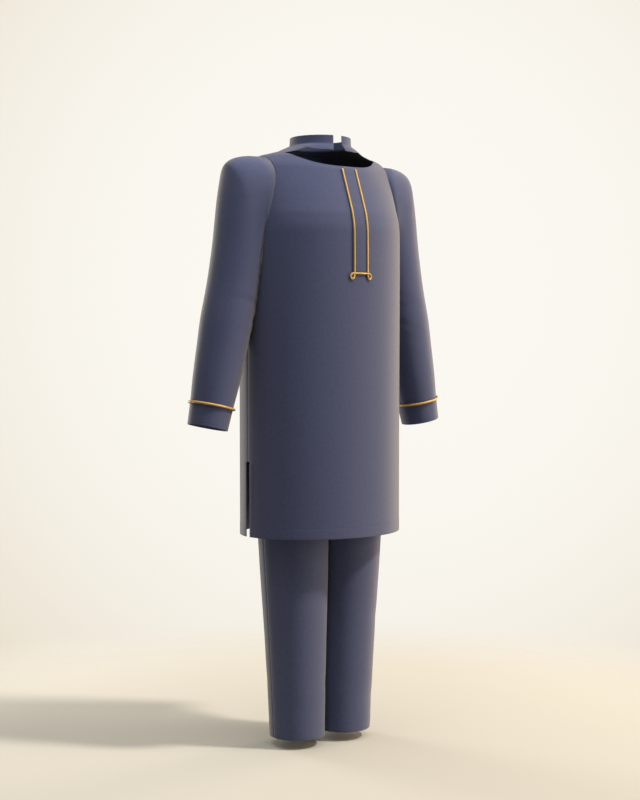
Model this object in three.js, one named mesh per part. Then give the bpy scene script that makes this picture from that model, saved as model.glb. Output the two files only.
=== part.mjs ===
// Senator kaftan: a knee-length navy tunic with a band collar, a wide scooped front neckline,
// set-in sleeves with piped cuffs and a corded placket, worn over matching straight trousers.
// Millimetres, +Z up, the wearer faces -Y and the wearer's left is +X. The origin lies on the
// body axis at the level of the neck-shoulder point, where the garment hangs from its wearer.
import * as THREE from "three";

// ---- Cloth and sewing --------------------------------------------------------------------
const WALL = 1.6;               // suiting cloth, with its pressed turnings
const SEAM = 0.3;               // gap between two pieces that are sewn together
const CORD_RADIUS = 2.5;        // gold cord round the placket
const PIPING_RADIUS = 2.9;      // gold cord round each cuff seam
const PLACKET_WALL = 1.0;       // the strip between the two cords

// ---- Tunic: heights ----------------------------------------------------------------------
const HEM = -957;
const SLIT_TOP = -773;
const SLIT_GAP = 15;
const UNDERARM = -255;
const ARM_TOP = -27;
const PLACKET_END = -313.7;

// ---- Tunic: sections from hem to collar. side is half the width, front and back are the
// depths from the body axis, and tuck draws the front in between its centre and its sides.
const BODY = [
  { z: HEM, side: 215, front: 171, back: 170, tuck: 0 },
  { z: -700, side: 215, front: 172, back: 170.6, tuck: 0 },
  { z: -450, side: 215, front: 172.8, back: 171, tuck: 0 },
  { z: -290, side: 215, front: 173.2, back: 170.5, tuck: 0 },
  { z: -215, side: 214.8, front: 172.6, back: 169, tuck: 0 },
  { z: -175, side: 213.4, front: 166.8, back: 165, tuck: 0.005 },
  { z: -140, side: 211.6, front: 154.6, back: 158.5, tuck: 0.02 },
  { z: -105, side: 209.8, front: 141, back: 148.5, tuck: 0.04 },
  { z: -75, side: 208, front: 129, back: 137, tuck: 0.065 },
  { z: -56, side: 205, front: 121, back: 127, tuck: 0.08 },
  { z: -43, side: 199, front: 112, back: 117.5, tuck: 0.08 },
  { z: -33, side: 190, front: 104, back: 110, tuck: 0.08 },
  { z: -24, side: 177, front: 97, back: 102, tuck: 0.07 },
  { z: -17, side: 152, front: 92, back: 96, tuck: 0.06 },
  { z: -8, side: 120, front: 86, back: 90, tuck: 0.04 },
  { z: -1, side: 104, front: 83, back: 86, tuck: 0.02 },
  { z: 5, side: 90, front: 80, back: 81, tuck: 0 },
  { z: 12, side: 78, front: 77, back: 77, tuck: 0 },
  { z: 31, side: 76.5, front: 76.5, back: 76.5, tuck: 0 },
];

// ---- Neckline and collar -----------------------------------------------------------------
const NECK_FRONT = -50;         // lowest point of the front neckline
const NECK_RISE = 34;           // how far it climbs to its two tips
const NECK_TIP = 133;           // distance of a tip from the centre line
const NECK_POWER = 3;
const COLLAR_SEAM = 4;          // height where the collar is sewn to the back
const COLLAR_FRONT = -6;        // its free lower edge at the front
const COLLAR_FREE_ANGLE = 48;   // degrees from the front where the collar comes free
const COLLAR_GAP = 24.5;
const COLLAR_ROOM = 0.35;       // its seam edge stands this much above the back's

// ---- Armhole: an egg in the side view ------------------------------------------------------
const ARMHOLE_DEPTH = 71;       // half of its front-to-back opening
const ARMHOLE_Y = 3;
const ARMHOLE_SQUARE = 2.6;     // 2 is an ellipse, more is squarer
const SHOULDER_SEAM_Y = -40;    // the shoulder seam lies forward of the ridge

// ---- Sleeve: centre line and radius, the elbow a little outward -----------------------------
const SLEEVE = [
  { z: -20, x: 200, radius: 66 },
  { z: -137, x: 221, radius: 67 },
  { z: -255, x: 236, radius: 66.5 },
  { z: -352, x: 254.5, radius: 64.5 },
  { z: -425, x: 271, radius: 64 },
  { z: -498, x: 286, radius: 61 },
  { z: -571, x: 301, radius: 57.6 },
  { z: -637, x: 315, radius: 52.2 },
  { z: -686, x: 325.6, radius: 49.4 },
];
const SLEEVE_Y = 5;
const CUFF_SEAM = -633.5;
const CUFF_END = -686;
const CROWN_DROP = 34;          // height over which the cap rounds over to the outer side
const CAP_DROP = 120;           // the same at the front, back and underarm
const CAP_SQUARE = 2.5;
const CROWN_SPREAD = 0.4;       // under 1 carries the crown's square edge further round
const SIDE_CLEARANCE = 3.5;     // between a hanging sleeve and the side of the tunic

// ---- Trousers: leg centre and radius below the crotch, hip section above it -----------------
const TROUSER_HEM = -1466;
const CROTCH = -735;
const RISE_CURVE = 110;
const WAIST = -455;
const WAISTBAND_TOP = -415;
const LEG = [
  { z: TROUSER_HEM, x: 70.5, radius: 69 },
  { z: -1240, x: 75, radius: 77 },
  { z: HEM, x: 82.5, radius: 88.5 },
  { z: CROTCH, x: 90, radius: 91 },
  { z: WAIST, x: 90, radius: 91 },
];
const HIP = [
  { z: CROTCH, side: 182, front: 120, back: 136 },
  { z: -640, side: 182, front: 120, back: 138 },
  { z: -540, side: 172, front: 116, back: 126 },
  { z: WAIST, side: 161, front: 112, back: 114 },
  { z: WAISTBAND_TOP, side: 158, front: 111, back: 112 },
];
const LEG_CLEARANCE = 1.5;      // between the two legs, on each side of the centre plane

// ---- Small tools ----------------------------------------------------------------------------
const clamp = (value, low, high) => Math.min(Math.max(value, low), high);
const mix = (a, b, t) => a + (b - a) * t;
const ease = (t) => t * t * (3 - 2 * t);
const degrees = (angle) => (angle * Math.PI) / 180;
const signedPower = (value, power) => Math.sign(value) * Math.abs(value) ** power;

// Slope of one column of a table at row i, kept flat at a turning point so nothing overshoots.
function slope(rows, key, i) {
  if (i === 0) return rows[1][key] - rows[0][key];
  if (i === rows.length - 1) return rows[i][key] - rows[i - 1][key];
  const before = rows[i][key] - rows[i - 1][key];
  const after = rows[i + 1][key] - rows[i][key];
  return before * after <= 0 ? 0 : (2 * before * after) / (before + after);
}

// One column of a table as a smooth function of the row number.
function smooth(rows, key, level) {
  const at = clamp(level, 0, rows.length - 1);
  const i = Math.min(Math.floor(at), rows.length - 2);
  const t = at - i;
  const bend = t * t * (3 - 2 * t);
  const leave = t * (1 - t) * (1 - t) * slope(rows, key, i);
  const arrive = t * t * (t - 1) * slope(rows, key, i + 1);
  return mix(rows[i][key], rows[i + 1][key], bend) + leave + arrive;
}

// The row number, with its fraction, where a rising function of it crosses zero.
const HALVINGS = 40;
function crossing(rows, rising) {
  let low = 0;
  let high = rows.length - 1;
  for (let step = 0; step < HALVINGS; step += 1) {
    const middle = (low + high) / 2;
    if (rising(middle) < 0) low = middle;
    else high = middle;
  }
  return (low + high) / 2;
}

// Row number at a height, for tables that run upwards or downwards.
function levelAt(rows, z) {
  const way = Math.sign(rows[1].z - rows[0].z);
  return crossing(rows, (level) => way * (smooth(rows, "z", level) - z));
}

// ---- Surface of the tunic: angle runs round from the front centre towards +X ----------------
function bodyPoint(angle, level) {
  const across = Math.sin(angle);
  const along = Math.cos(angle);
  const depth = smooth(BODY, along > 0 ? "front" : "back", level);
  const tuck = along > 0 ? smooth(BODY, "tuck", level) : 0;
  const scale = 1 - tuck * Math.sin(2 * angle) ** 2;
  const x = smooth(BODY, "side", level) * across * scale;
  return new THREE.Vector3(x, -depth * along * scale, smooth(BODY, "z", level));
}

function bodyNormal(angle, level) {
  const step = 0.002;
  const turn = bodyPoint(angle + step, level).sub(bodyPoint(angle - step, level));
  const up = bodyPoint(angle, Math.min(level + step, BODY.length - 1));
  up.sub(bodyPoint(angle, Math.max(level - step, 0)));
  return turn.cross(up).normalize();
}

// Angle on a section where the surface lies at depth y, on the +X side.
const CORRECTIONS = 12;
const SIDE_ANGLE = 0.2;         // the answer lies at least this far from either centre line
function angleAtDepth(y, level) {
  let angle = Math.PI / 2;
  for (let step = 0; step < CORRECTIONS; step += 1) {
    const point = bodyPoint(angle, level);
    const depth = smooth(BODY, y < 0 ? "front" : "back", level);
    angle = clamp(angle + (y - point.y) / depth, SIDE_ANGLE, Math.PI - SIDE_ANGLE);
  }
  return angle;
}

// The armhole on the +X side; turn is 0 at the shoulder, a quarter at the front, a half below.
const ARM_MIDDLE = (UNDERARM + ARM_TOP) / 2;
const ARM_REACH = (ARM_TOP - UNDERARM) / 2;
function armholeAt(turn) {
  const power = 2 / ARMHOLE_SQUARE;
  const y = ARMHOLE_Y - ARMHOLE_DEPTH * signedPower(Math.sin(turn), power);
  const level = levelAt(BODY, ARM_MIDDLE + ARM_REACH * signedPower(Math.cos(turn), power));
  return { angle: angleAtDepth(y, level), level };
}

// Turn on the armhole, between the shoulder and its front, where the shoulder seam meets it.
function shoulderTurn() {
  const sine = (ARMHOLE_Y - SHOULDER_SEAM_Y) / ARMHOLE_DEPTH;
  return Math.asin(sine ** (ARMHOLE_SQUARE / 2));
}

// ---- Edges of the front and back panels, as angle and level on the tunic surface ------------
// Side edge of a panel, from the hem up its slit and side seam, then up its armhole.
const SIDE_SHARE = 0.6;         // share of the edge that lies below the underarm
function sideEdge(v, facing) {
  if (v <= SIDE_SHARE) {
    const z = mix(HEM, UNDERARM, v / SIDE_SHARE);
    const half = z < SLIT_TOP ? SLIT_GAP / 2 : SEAM / 2;
    const level = levelAt(BODY, z);
    return { angle: angleAtDepth(facing * half, level), level };
  }
  const t = (v - SIDE_SHARE) / (1 - SIDE_SHARE);
  const seam = shoulderTurn();
  const front = mix(Math.PI, seam, t);
  const back = mix(Math.PI, 2 * Math.PI + seam, t);
  return armholeAt(facing < 0 ? front : back);
}

const UNDERARM_LEVEL = levelAt(BODY, UNDERARM);
const TIP_LEVEL = levelAt(BODY, NECK_FRONT + NECK_RISE);
const TIP_TUCK = 0.97;          // how far the tuck draws the section in at a tip
const TIP_ANGLE = Math.asin(NECK_TIP / smooth(BODY, "side", TIP_LEVEL) / TIP_TUCK);
const SEAM_END = armholeAt(shoulderTurn());

// The forward shoulder seam, from the armhole at t = 0 to the tip of the neckline at t = 1.
function shoulderSeam(t) {
  return { angle: mix(SEAM_END.angle, TIP_ANGLE, t), level: mix(SEAM_END.level, TIP_LEVEL, t) };
}

// The front neckline at an angle from the centre.
function neckline(angle) {
  const height = (x) => NECK_FRONT + NECK_RISE * (x / NECK_TIP) ** NECK_POWER;
  const gap = (level) => {
    const point = bodyPoint(angle, level);
    return point.z - height(Math.abs(point.x));
  };
  return { angle, level: crossing(BODY, gap) };
}

// Lower edge of the collar: sewn round the back, dipping where it hangs free at the front.
const FREE_ANGLE = degrees(COLLAR_FREE_ANGLE);
const DIP_HALF = 0.35;          // radians over which the edge dips, each side of that angle
function collarEdge(angle) {
  const fromFront = Math.abs(angle);
  const dip = ease(clamp((FREE_ANGLE + DIP_HALF - fromFront) / (2 * DIP_HALF), 0, 1));
  return { angle, level: levelAt(BODY, mix(COLLAR_SEAM, COLLAR_FRONT, dip)) };
}

const SHOULDER_SHARE = 0.86;    // share of the front's top edge that is neckline
function frontTop(u) {
  if (u > SHOULDER_SHARE) return shoulderSeam((1 - u) / (1 - SHOULDER_SHARE));
  return neckline((TIP_ANGLE * u) / SHOULDER_SHARE);
}

const BACK_SEAM_SHARE = 0.87;   // beyond it the back's top edge is shoulder seam
const BACK_NECK_SHARE = 0.74;   // up to it the edge follows the collar, between them it is free
function backTop(u) {
  if (u > BACK_SEAM_SHARE) return shoulderSeam((1 - u) / (1 - BACK_SEAM_SHARE));
  if (u <= BACK_NECK_SHARE) {
    return collarEdge(mix(Math.PI, FREE_ANGLE, u / BACK_NECK_SHARE));
  }
  const t = (u - BACK_NECK_SHARE) / (BACK_SEAM_SHARE - BACK_NECK_SHARE);
  const start = collarEdge(FREE_ANGLE);
  return { angle: mix(FREE_ANGLE, TIP_ANGLE, t), level: mix(start.level, TIP_LEVEL, t) };
}

// A panel of the tunic at u across (-1 to 1) and v up (0 to 1): rows are level below, and the
// shape of the top edge is taken up gradually above the chest.
const TOP_START = 0.68;
function panelPlace(u, v, facing) {
  const centre = facing < 0 ? 0 : Math.PI;
  const top = facing < 0 ? frontTop(Math.abs(u)) : backTop(Math.abs(u));
  const corner = facing < 0 ? frontTop(1) : backTop(1);
  const edge = sideEdge(v, facing);
  const rise = ease(clamp((v - TOP_START) / (1 - TOP_START), 0, 1));
  const spread = (place) => Math.abs(place.angle - centre);
  const side = Math.abs(u) * (spread(edge) - rise * spread(corner));
  const away = side + rise * spread(top);
  const climb = clamp((v - SIDE_SHARE) / (1 - SIDE_SHARE), 0, 1);
  const inside = climb > 0 ? mix(UNDERARM_LEVEL, corner.level, climb) : edge.level;
  const base = mix(inside, edge.level, Math.abs(u) ** 3);
  const level = base + rise * (top.level - corner.level);
  return { angle: centre - facing * Math.sign(u) * away, level };
}

// ---- Closed walls of cloth ------------------------------------------------------------------
function meshGeometry(points, faces) {
  const geometry = new THREE.BufferGeometry();
  const position = points.flatMap((point) => [point.x, point.y, point.z]);
  geometry.setAttribute("position", new THREE.Float32BufferAttribute(position, 3));
  geometry.setIndex(faces.flat());
  geometry.computeVertexNormals();
  return geometry;
}

// Wall whose outer face is a grid of points and whose inner face lies one thickness inside.
// rows[j][i] holds { point, normal }; closed joins the last column to the first.
function wallGeometry(rows, thickness, closed) {
  const high = rows.length;
  const wide = rows[0].length;
  const outer = rows.flat().map((cell) => cell.point);
  const inner = rows.flat().map((cell) => {
    return cell.point.clone().addScaledVector(cell.normal, -thickness);
  });
  const id = (i, j, side) => side * high * wide + j * wide + (i % wide);
  const faces = [];
  const quad = (a, b, c, d) => faces.push([a, b, c], [a, c, d]);
  const spans = closed ? wide : wide - 1;
  for (let j = 0; j < high - 1; j += 1) {
    for (let i = 0; i < spans; i += 1) {
      quad(id(i, j, 0), id(i + 1, j, 0), id(i + 1, j + 1, 0), id(i, j + 1, 0));
      quad(id(i, j, 1), id(i, j + 1, 1), id(i + 1, j + 1, 1), id(i + 1, j, 1));
    }
    if (!closed) {
      const last = wide - 1;
      quad(id(0, j, 0), id(0, j + 1, 0), id(0, j + 1, 1), id(0, j, 1));
      quad(id(last, j + 1, 0), id(last, j, 0), id(last, j, 1), id(last, j + 1, 1));
    }
  }
  for (let i = 0; i < spans; i += 1) {
    const top = high - 1;
    quad(id(i + 1, 0, 0), id(i, 0, 0), id(i, 0, 1), id(i + 1, 0, 1));
    quad(id(i, top, 0), id(i + 1, top, 0), id(i + 1, top, 1), id(i, top, 1));
  }
  const way = new THREE.Vector3().subVectors(rows[0][1].point, rows[0][0].point);
  way.cross(new THREE.Vector3().subVectors(rows[1][0].point, rows[0][0].point));
  if (way.dot(rows[0][0].normal) < 0) faces.forEach((face) => face.reverse());
  return meshGeometry([...outer, ...inner], faces);
}

// Grid of a surface with its outward normals; outward(point) tells a normal from its opposite.
function surfaceRows(surface, us, vs, outward) {
  const step = 0.0015;
  const low = vs[0];
  const high = vs[vs.length - 1];
  return vs.map((v) => us.map((u) => {
    const point = surface(u, v);
    const across = surface(u + step, v).sub(surface(u - step, v));
    const along = surface(u, Math.min(v + step, high)).sub(surface(u, Math.max(v - step, low)));
    const normal = across.cross(along).normalize();
    if (normal.dot(outward(point, u, v)) < 0) normal.negate();
    return { point, normal };
  }));
}

const range = (count, from, to) => {
  return Array.from({ length: count + 1 }, (_, i) => mix(from, to, i / count));
};
const ring = (count) => range(count, 0, 2 * Math.PI).slice(0, count);

function mirrored(rows) {
  const flip = (vector) => new THREE.Vector3(-vector.x, vector.y, vector.z);
  return rows.map((row) => row.map((cell) => {
    return { point: flip(cell.point), normal: flip(cell.normal) };
  }));
}

// ---- Tunic panels ---------------------------------------------------------------------------
// Heights of the rows: few down the straight skirt, one at each end of the slit's top, and
// more where the chest, the armhole and the shoulder curve.
const SLIT_SHARE = (SIDE_SHARE * (SLIT_TOP - HEM)) / (UNDERARM - HEM);
const SLIT_STEP = 0.0005;       // the slit closes within twice this share of the edge
const SKIRT_ROWS = [0, SLIT_SHARE - SLIT_STEP, SLIT_SHARE + SLIT_STEP, 0.28, 0.38, 0.46, 0.52, 0.565];
const PANEL_ROWS = [...SKIRT_ROWS, ...range(13, SIDE_SHARE, 1)];
const NECK_COLUMNS = 9;         // on each side of the back, shared with the collar's seam

// Columns on both sides of the centre, from stretches that each end at a share of the width.
function panelColumns(stretches) {
  const half = stretches.flatMap((stretch, i) => {
    const from = i === 0 ? 0 : stretches[i - 1].to;
    return range(stretch.count, from, stretch.to).slice(1);
  });
  return [...half.map((u) => -u).reverse(), 0, ...half];
}

function tunicPanel(facing, columns) {
  const rows = PANEL_ROWS.map((v) => columns.map((u) => {
    const place = panelPlace(u, v, facing);
    const normal = bodyNormal(place.angle, place.level);
    return { point: bodyPoint(place.angle, place.level), normal };
  }));
  return wallGeometry(rows, WALL, false);
}

function frontPanel() {
  return tunicPanel(-1, panelColumns([{ to: SHOULDER_SHARE, count: 10 }, { to: 1, count: 2 }]));
}

function backPanel() {
  const neck = { to: BACK_NECK_SHARE, count: NECK_COLUMNS };
  const free = { to: BACK_SEAM_SHARE, count: 2 };
  return tunicPanel(1, panelColumns([neck, free, { to: 1, count: 2 }]));
}

// ---- Collar ---------------------------------------------------------------------------------
// One band, split at the front; along the back its columns match the back panel's.
const COLLAR_FREE_COLUMNS = 4;
const COLLAR_ROWS = [0, 0.18, 0.4, 0.65, 1];
function collar() {
  const top = BODY.length - 1;
  const gap = Math.asin(COLLAR_GAP / 2 / smooth(BODY, "side", top));
  const free = range(COLLAR_FREE_COLUMNS, gap, FREE_ANGLE);
  const half = [...free, ...range(NECK_COLUMNS, FREE_ANGLE, Math.PI).slice(1)];
  const round = half.slice(0, -1).map((angle) => 2 * Math.PI - angle).reverse();
  const surfaceRow = (t) => [...half, ...round].map((angle) => {
    const edge = collarEdge(Math.min(angle, 2 * Math.PI - angle));
    const low = levelAt(BODY, smooth(BODY, "z", edge.level) + COLLAR_ROOM);
    const level = mix(low, top, t);
    return { point: bodyPoint(angle, level), normal: bodyNormal(angle, level) };
  });
  return wallGeometry(COLLAR_ROWS.map(surfaceRow), WALL, false);
}

// ---- Sleeve and cuff ------------------------------------------------------------------------
// Tube round the sleeve's centre line: turn is 0 on the outer side and a quarter at the front.
function tubePoint(turn, height) {
  const level = levelAt(SLEEVE, height);
  const step = 0.01;
  const reach = smooth(SLEEVE, "x", level + step) - smooth(SLEEVE, "x", level - step);
  const fall = smooth(SLEEVE, "z", level - step) - smooth(SLEEVE, "z", level + step);
  const lean = Math.atan2(reach, fall);
  const radius = smooth(SLEEVE, "radius", level);
  const out = radius * Math.cos(turn);
  const x = smooth(SLEEVE, "x", level) + out * Math.cos(lean);
  return new THREE.Vector3(x, SLEEVE_Y - radius * Math.sin(turn), height + out * Math.sin(lean));
}

// Moves a point sideways out of the tunic until it is clear of it.
function clearOfBody(point, clearance) {
  if (point.z < HEM) return point;
  const level = levelAt(BODY, point.z);
  const side = smooth(BODY, "side", level);
  const depth = smooth(BODY, point.y < 0 ? "front" : "back", level);
  const skin = bodyPoint(Math.atan2(point.x / side, -point.y / depth), level);
  const far = Math.hypot(skin.x, skin.y) + clearance;
  const near = Math.hypot(point.x, point.y);
  if (near >= far) return point;
  return new THREE.Vector3((point.x * far) / near, (point.y * far) / near, point.z);
}

const SEAM_STANDOFF = 0.5;      // the sleeve's seam edge stands just off the panels
function sleevePoint(turn, share) {
  const place = armholeAt(turn);
  const start = bodyPoint(place.angle, place.level);
  start.addScaledVector(bodyNormal(place.angle, place.level), SEAM_STANDOFF);
  const tilt = tubePoint(turn, start.z).z - start.z;
  const top = start.z - tilt;
  const height = mix(top, CUFF_SEAM, share);
  const drop = mix(CAP_DROP, CROWN_DROP, Math.max(Math.cos(turn), 0) ** CROWN_SPREAD);
  const fallen = clamp((top - height) / drop, 0, 1);
  const left = 1 - (1 - (1 - fallen) ** CAP_SQUARE) ** (1 / CAP_SQUARE);
  const point = tubePoint(turn, height);
  point.addScaledVector(start.sub(tubePoint(turn, top)), left);
  const clearance = mix(SEAM_STANDOFF, SIDE_CLEARANCE, ease(fallen));
  return clearOfBody(point, clearance);
}

const SLEEVE_COLUMNS = 24;
const SLEEVE_ROWS = [0, 0.01, 0.03, 0.06, 0.1, 0.15, 0.21, 0.28, 0.36, 0.44, 0.52, 0.6, 0.69,
  0.79, 0.89, 1];
const AXIS_INSET = 20;          // a point inside the sleeve at any height lies this far inward
const AXIS_BELOW = 30;          // and this far below
const sleeveInside = (point) => {
  const level = levelAt(SLEEVE, point.z);
  return new THREE.Vector3(smooth(SLEEVE, "x", level) - AXIS_INSET, SLEEVE_Y, point.z - AXIS_BELOW);
};
const fromInside = (point) => point.clone().sub(sleeveInside(point));

function sleeveRows() {
  return surfaceRows(sleevePoint, ring(SLEEVE_COLUMNS), SLEEVE_ROWS, fromInside);
}

function cuffRows() {
  const heights = [CUFF_SEAM - SEAM, (CUFF_SEAM + CUFF_END) / 2, CUFF_END];
  const outward = (point, turn) => new THREE.Vector3(Math.cos(turn), -Math.sin(turn), 0);
  return surfaceRows(tubePoint, ring(SLEEVE_COLUMNS), heights, outward);
}

// ---- Cords ----------------------------------------------------------------------------------
const CORD_SIDES = 8;
const CORD_STEPS = 30;
const BAR_STEPS = 58;
const PIPING_STEPS = 40;
function cordGeometry(points, radius, steps) {
  const circle = new THREE.Shape();
  circle.absarc(0, 0, radius, 0, 2 * Math.PI);
  const path = new THREE.CatmullRomCurve3(points, false, "centripetal");
  return new THREE.ExtrudeGeometry(circle, {
    extrudePath: path, steps, curveSegments: CORD_SIDES / 2, bevelEnabled: false,
  });
}

// A place on the front at distance x from its centre line, lifted off the cloth.
function onFront(x, z, lift) {
  const level = levelAt(BODY, z);
  let angle = 0;
  for (let step = 0; step < CORRECTIONS; step += 1) {
    angle += (x - bodyPoint(angle, level).x) / smooth(BODY, "side", level);
  }
  return bodyPoint(angle, level).addScaledVector(bodyNormal(angle, level), lift);
}

const PLACKET_HALF = 19.4;      // from the centre line to the middle of each cord
const CORD_LIFT = SEAM + CORD_RADIUS;
const PLACKET_LIFT = 0.5;       // room under the strip, which clears the curve of the chest
const NECK_EDGE_ROOM = 3;       // the cords and strip stop just below the neckline's edge

const PLACKET_ROWS = 16;
const STRIP_COLUMNS = 4;
function placketCord(side) {
  const low = PLACKET_END + 2 * CORD_RADIUS + SEAM;
  const heights = range(PLACKET_ROWS, NECK_FRONT - NECK_EDGE_ROOM, low);
  const points = heights.map((z) => onFront(side * PLACKET_HALF, z, CORD_LIFT));
  return cordGeometry(points, CORD_RADIUS, CORD_STEPS);
}

// The bar that closes the placket, each end curled down and back up to the bar as a small loop.
const CURL = [
  { out: 4, down: 0.4 }, { out: 8, down: 2.2 }, { out: 10.4, down: 6 }, { out: 9.6, down: 10.4 },
  { out: 6.4, down: 13.4 }, { out: 2.9, down: 12 }, { out: 1.2, down: 8.2 }, { out: 0.4, down: 3.6 },
];
const BAR_PLACES = [-0.8, -0.3, 0.3, 0.8];
function placketBar() {
  const place = (x, down) => onFront(x, PLACKET_END - down, CORD_LIFT);
  const curl = (side) => CURL.map((row) => place(side * (PLACKET_HALF + row.out), row.down));
  const bar = BAR_PLACES.map((share) => place(share * PLACKET_HALF, 0));
  return cordGeometry([...curl(-1).reverse(), ...bar, ...curl(1)], CORD_RADIUS, BAR_STEPS);
}

function placketStrip() {
  const half = PLACKET_HALF - CORD_RADIUS - SEAM;
  const low = PLACKET_END + CORD_RADIUS + SEAM;
  const lift = PLACKET_LIFT + PLACKET_WALL;
  const rows = range(PLACKET_ROWS, low, NECK_FRONT - NECK_EDGE_ROOM).map((z) => {
    return range(STRIP_COLUMNS, -half, half).map((x) => {
      const point = onFront(x, z, lift);
      const normal = point.clone().sub(onFront(x, z, 0)).normalize();
      return { point, normal };
    });
  });
  return wallGeometry(rows, PLACKET_WALL, false);
}

function cuffPiping(side) {
  const level = levelAt(SLEEVE, CUFF_SEAM);
  const reach = smooth(SLEEVE, "radius", level) + SEAM + PIPING_RADIUS;
  const geometry = new THREE.TorusGeometry(reach, PIPING_RADIUS, CORD_SIDES, PIPING_STEPS);
  const rim = tubePoint(0, CUFF_SEAM).sub(tubePoint(Math.PI, CUFF_SEAM));
  geometry.rotateY(-Math.atan2(rim.z, rim.x));
  geometry.translate(smooth(SLEEVE, "x", level), SLEEVE_Y, CUFF_SEAM);
  if (side < 0) geometry.rotateZ(Math.PI).translate(0, 2 * SLEEVE_Y, 0);
  return geometry;
}

// ---- Trousers -------------------------------------------------------------------------------
// One quarter on the +X side: u runs from the outside seam to the inside seam or centre rise.
function trouserPoint(u, z, facing) {
  const leg = levelAt(LEG, z);
  const hip = levelAt(HIP, z);
  const merge = ease(clamp((z - CROTCH) / RISE_CURVE, 0, 1));
  const radius = smooth(LEG, "radius", leg);
  const tubeX = smooth(LEG, "x", leg) + radius * Math.cos(Math.PI * u);
  const tubeY = radius * Math.sin(Math.PI * u);
  const hipX = smooth(HIP, "side", hip) * Math.cos((Math.PI * u) / 2);
  const hipY = smooth(HIP, facing < 0 ? "front" : "back", hip) * Math.sin((Math.PI * u) / 2);
  const nearest = mix(LEG_CLEARANCE, SEAM / 2, merge);
  const x = Math.max(mix(tubeX, hipX, merge), nearest);
  return new THREE.Vector3(x, facing * Math.max(mix(tubeY, hipY, merge), SEAM / 2), z);
}

const TROUSER_ROWS = [TROUSER_HEM, -1300, -1120, HEM, -850, CROTCH, CROTCH + 18, CROTCH + 40,
  CROTCH + 65, CROTCH + 90, CROTCH + RISE_CURVE, -560, -500, WAIST - SEAM];
const TROUSER_COLUMNS = 12;
const WAISTBAND_COLUMNS = 36;
function trouserRows(facing) {
  const surface = (u, z) => trouserPoint(clamp(u, 0, 1), z, facing);
  const middle = (point) => {
    const merge = ease(clamp((point.z - CROTCH) / RISE_CURVE, 0, 1));
    return new THREE.Vector3(mix(smooth(LEG, "x", levelAt(LEG, point.z)), 0, merge), 0, point.z);
  };
  const outward = (point) => point.clone().sub(middle(point));
  return surfaceRows(surface, range(TROUSER_COLUMNS, 0, 1), TROUSER_ROWS, outward);
}

function waistband() {
  const surface = (turn, z) => {
    const level = levelAt(HIP, z);
    const along = Math.cos(turn);
    const depth = smooth(HIP, along > 0 ? "front" : "back", level);
    return new THREE.Vector3(smooth(HIP, "side", level) * Math.sin(turn), -depth * along, z);
  };
  const outward = (point) => new THREE.Vector3(point.x, point.y, 0);
  const rows = surfaceRows(surface, ring(WAISTBAND_COLUMNS), [WAIST, WAISTBAND_TOP], outward);
  return wallGeometry(rows, WALL, true);
}

// ---- Materials and the finished group -------------------------------------------------------
const navyCloth = () => new THREE.MeshStandardMaterial({
  color: 0x3d415a, roughness: 0.85, metalness: 0, side: THREE.FrontSide,
});
const goldCord = () => new THREE.MeshStandardMaterial({
  color: 0xd9a441, roughness: 0.45, metalness: 0.35,
});

const kaftan = new THREE.Group();
function add(name, geometry, material) {
  const mesh = new THREE.Mesh(geometry, material);
  mesh.name = name;
  kaftan.add(mesh);
}

add("front", frontPanel(), navyCloth());
add("back", backPanel(), navyCloth());
add("collar", collar(), navyCloth());
add("placket", placketStrip(), navyCloth());
add("placket_bar", placketBar(), goldCord());
add("waistband", waistband(), navyCloth());
for (const [word, side] of [["left", 1], ["right", -1]]) {
  const worn = (rows) => (side > 0 ? rows : mirrored(rows));
  add(`sleeve_${word}`, wallGeometry(worn(sleeveRows()), WALL, true), navyCloth());
  add(`cuff_${word}`, wallGeometry(worn(cuffRows()), WALL, true), navyCloth());
  add(`cuff_piping_${word}`, cuffPiping(side), goldCord());
  add(`placket_cord_${word}`, placketCord(side), goldCord());
  add(`trouser_front_${word}`, wallGeometry(worn(trouserRows(-1)), WALL, false), navyCloth());
  add(`trouser_back_${word}`, wallGeometry(worn(trouserRows(1)), WALL, false), navyCloth());
}

export default kaftan;
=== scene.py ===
# %% [markdown]
# # A senator kaftan in cloth and cord
# The outfit is a knee-length navy tunic over straight trousers of the same suiting. The tunic has
# a standing band collar, a wide scooped neckline, set-in sleeves with gold piping at the cuffs,
# and a placket edged with gold cord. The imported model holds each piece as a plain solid. Here
# every solid is replaced by a finer piece on the same surface: thin cloth with seams, turned hems
# and stitches, or cord with real twisted strands.
#
# All shapes are functions of two parameters, worked out with numpy as whole arrays. They are in
# millimetres, as a tailor thinks, and become metres when they go into a mesh. The origin lies on
# the body axis at the level of the neck-shoulder point, +Z is up, the wearer faces -Y and the
# wearer's left is +X.

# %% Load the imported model
import math

import bpy
import numpy as np
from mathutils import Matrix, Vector


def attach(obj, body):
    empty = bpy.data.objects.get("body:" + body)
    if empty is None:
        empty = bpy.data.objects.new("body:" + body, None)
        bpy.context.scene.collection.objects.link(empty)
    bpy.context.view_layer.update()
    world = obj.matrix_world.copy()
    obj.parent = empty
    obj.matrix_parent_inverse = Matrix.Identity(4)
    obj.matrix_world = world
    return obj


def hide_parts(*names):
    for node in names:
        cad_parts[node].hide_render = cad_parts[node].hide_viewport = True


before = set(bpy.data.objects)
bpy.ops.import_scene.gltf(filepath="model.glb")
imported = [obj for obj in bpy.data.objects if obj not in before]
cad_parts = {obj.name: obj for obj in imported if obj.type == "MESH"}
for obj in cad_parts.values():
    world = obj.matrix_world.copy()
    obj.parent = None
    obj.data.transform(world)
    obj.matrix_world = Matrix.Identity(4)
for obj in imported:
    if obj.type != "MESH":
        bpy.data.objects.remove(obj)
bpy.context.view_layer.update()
MM = 0.001

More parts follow.
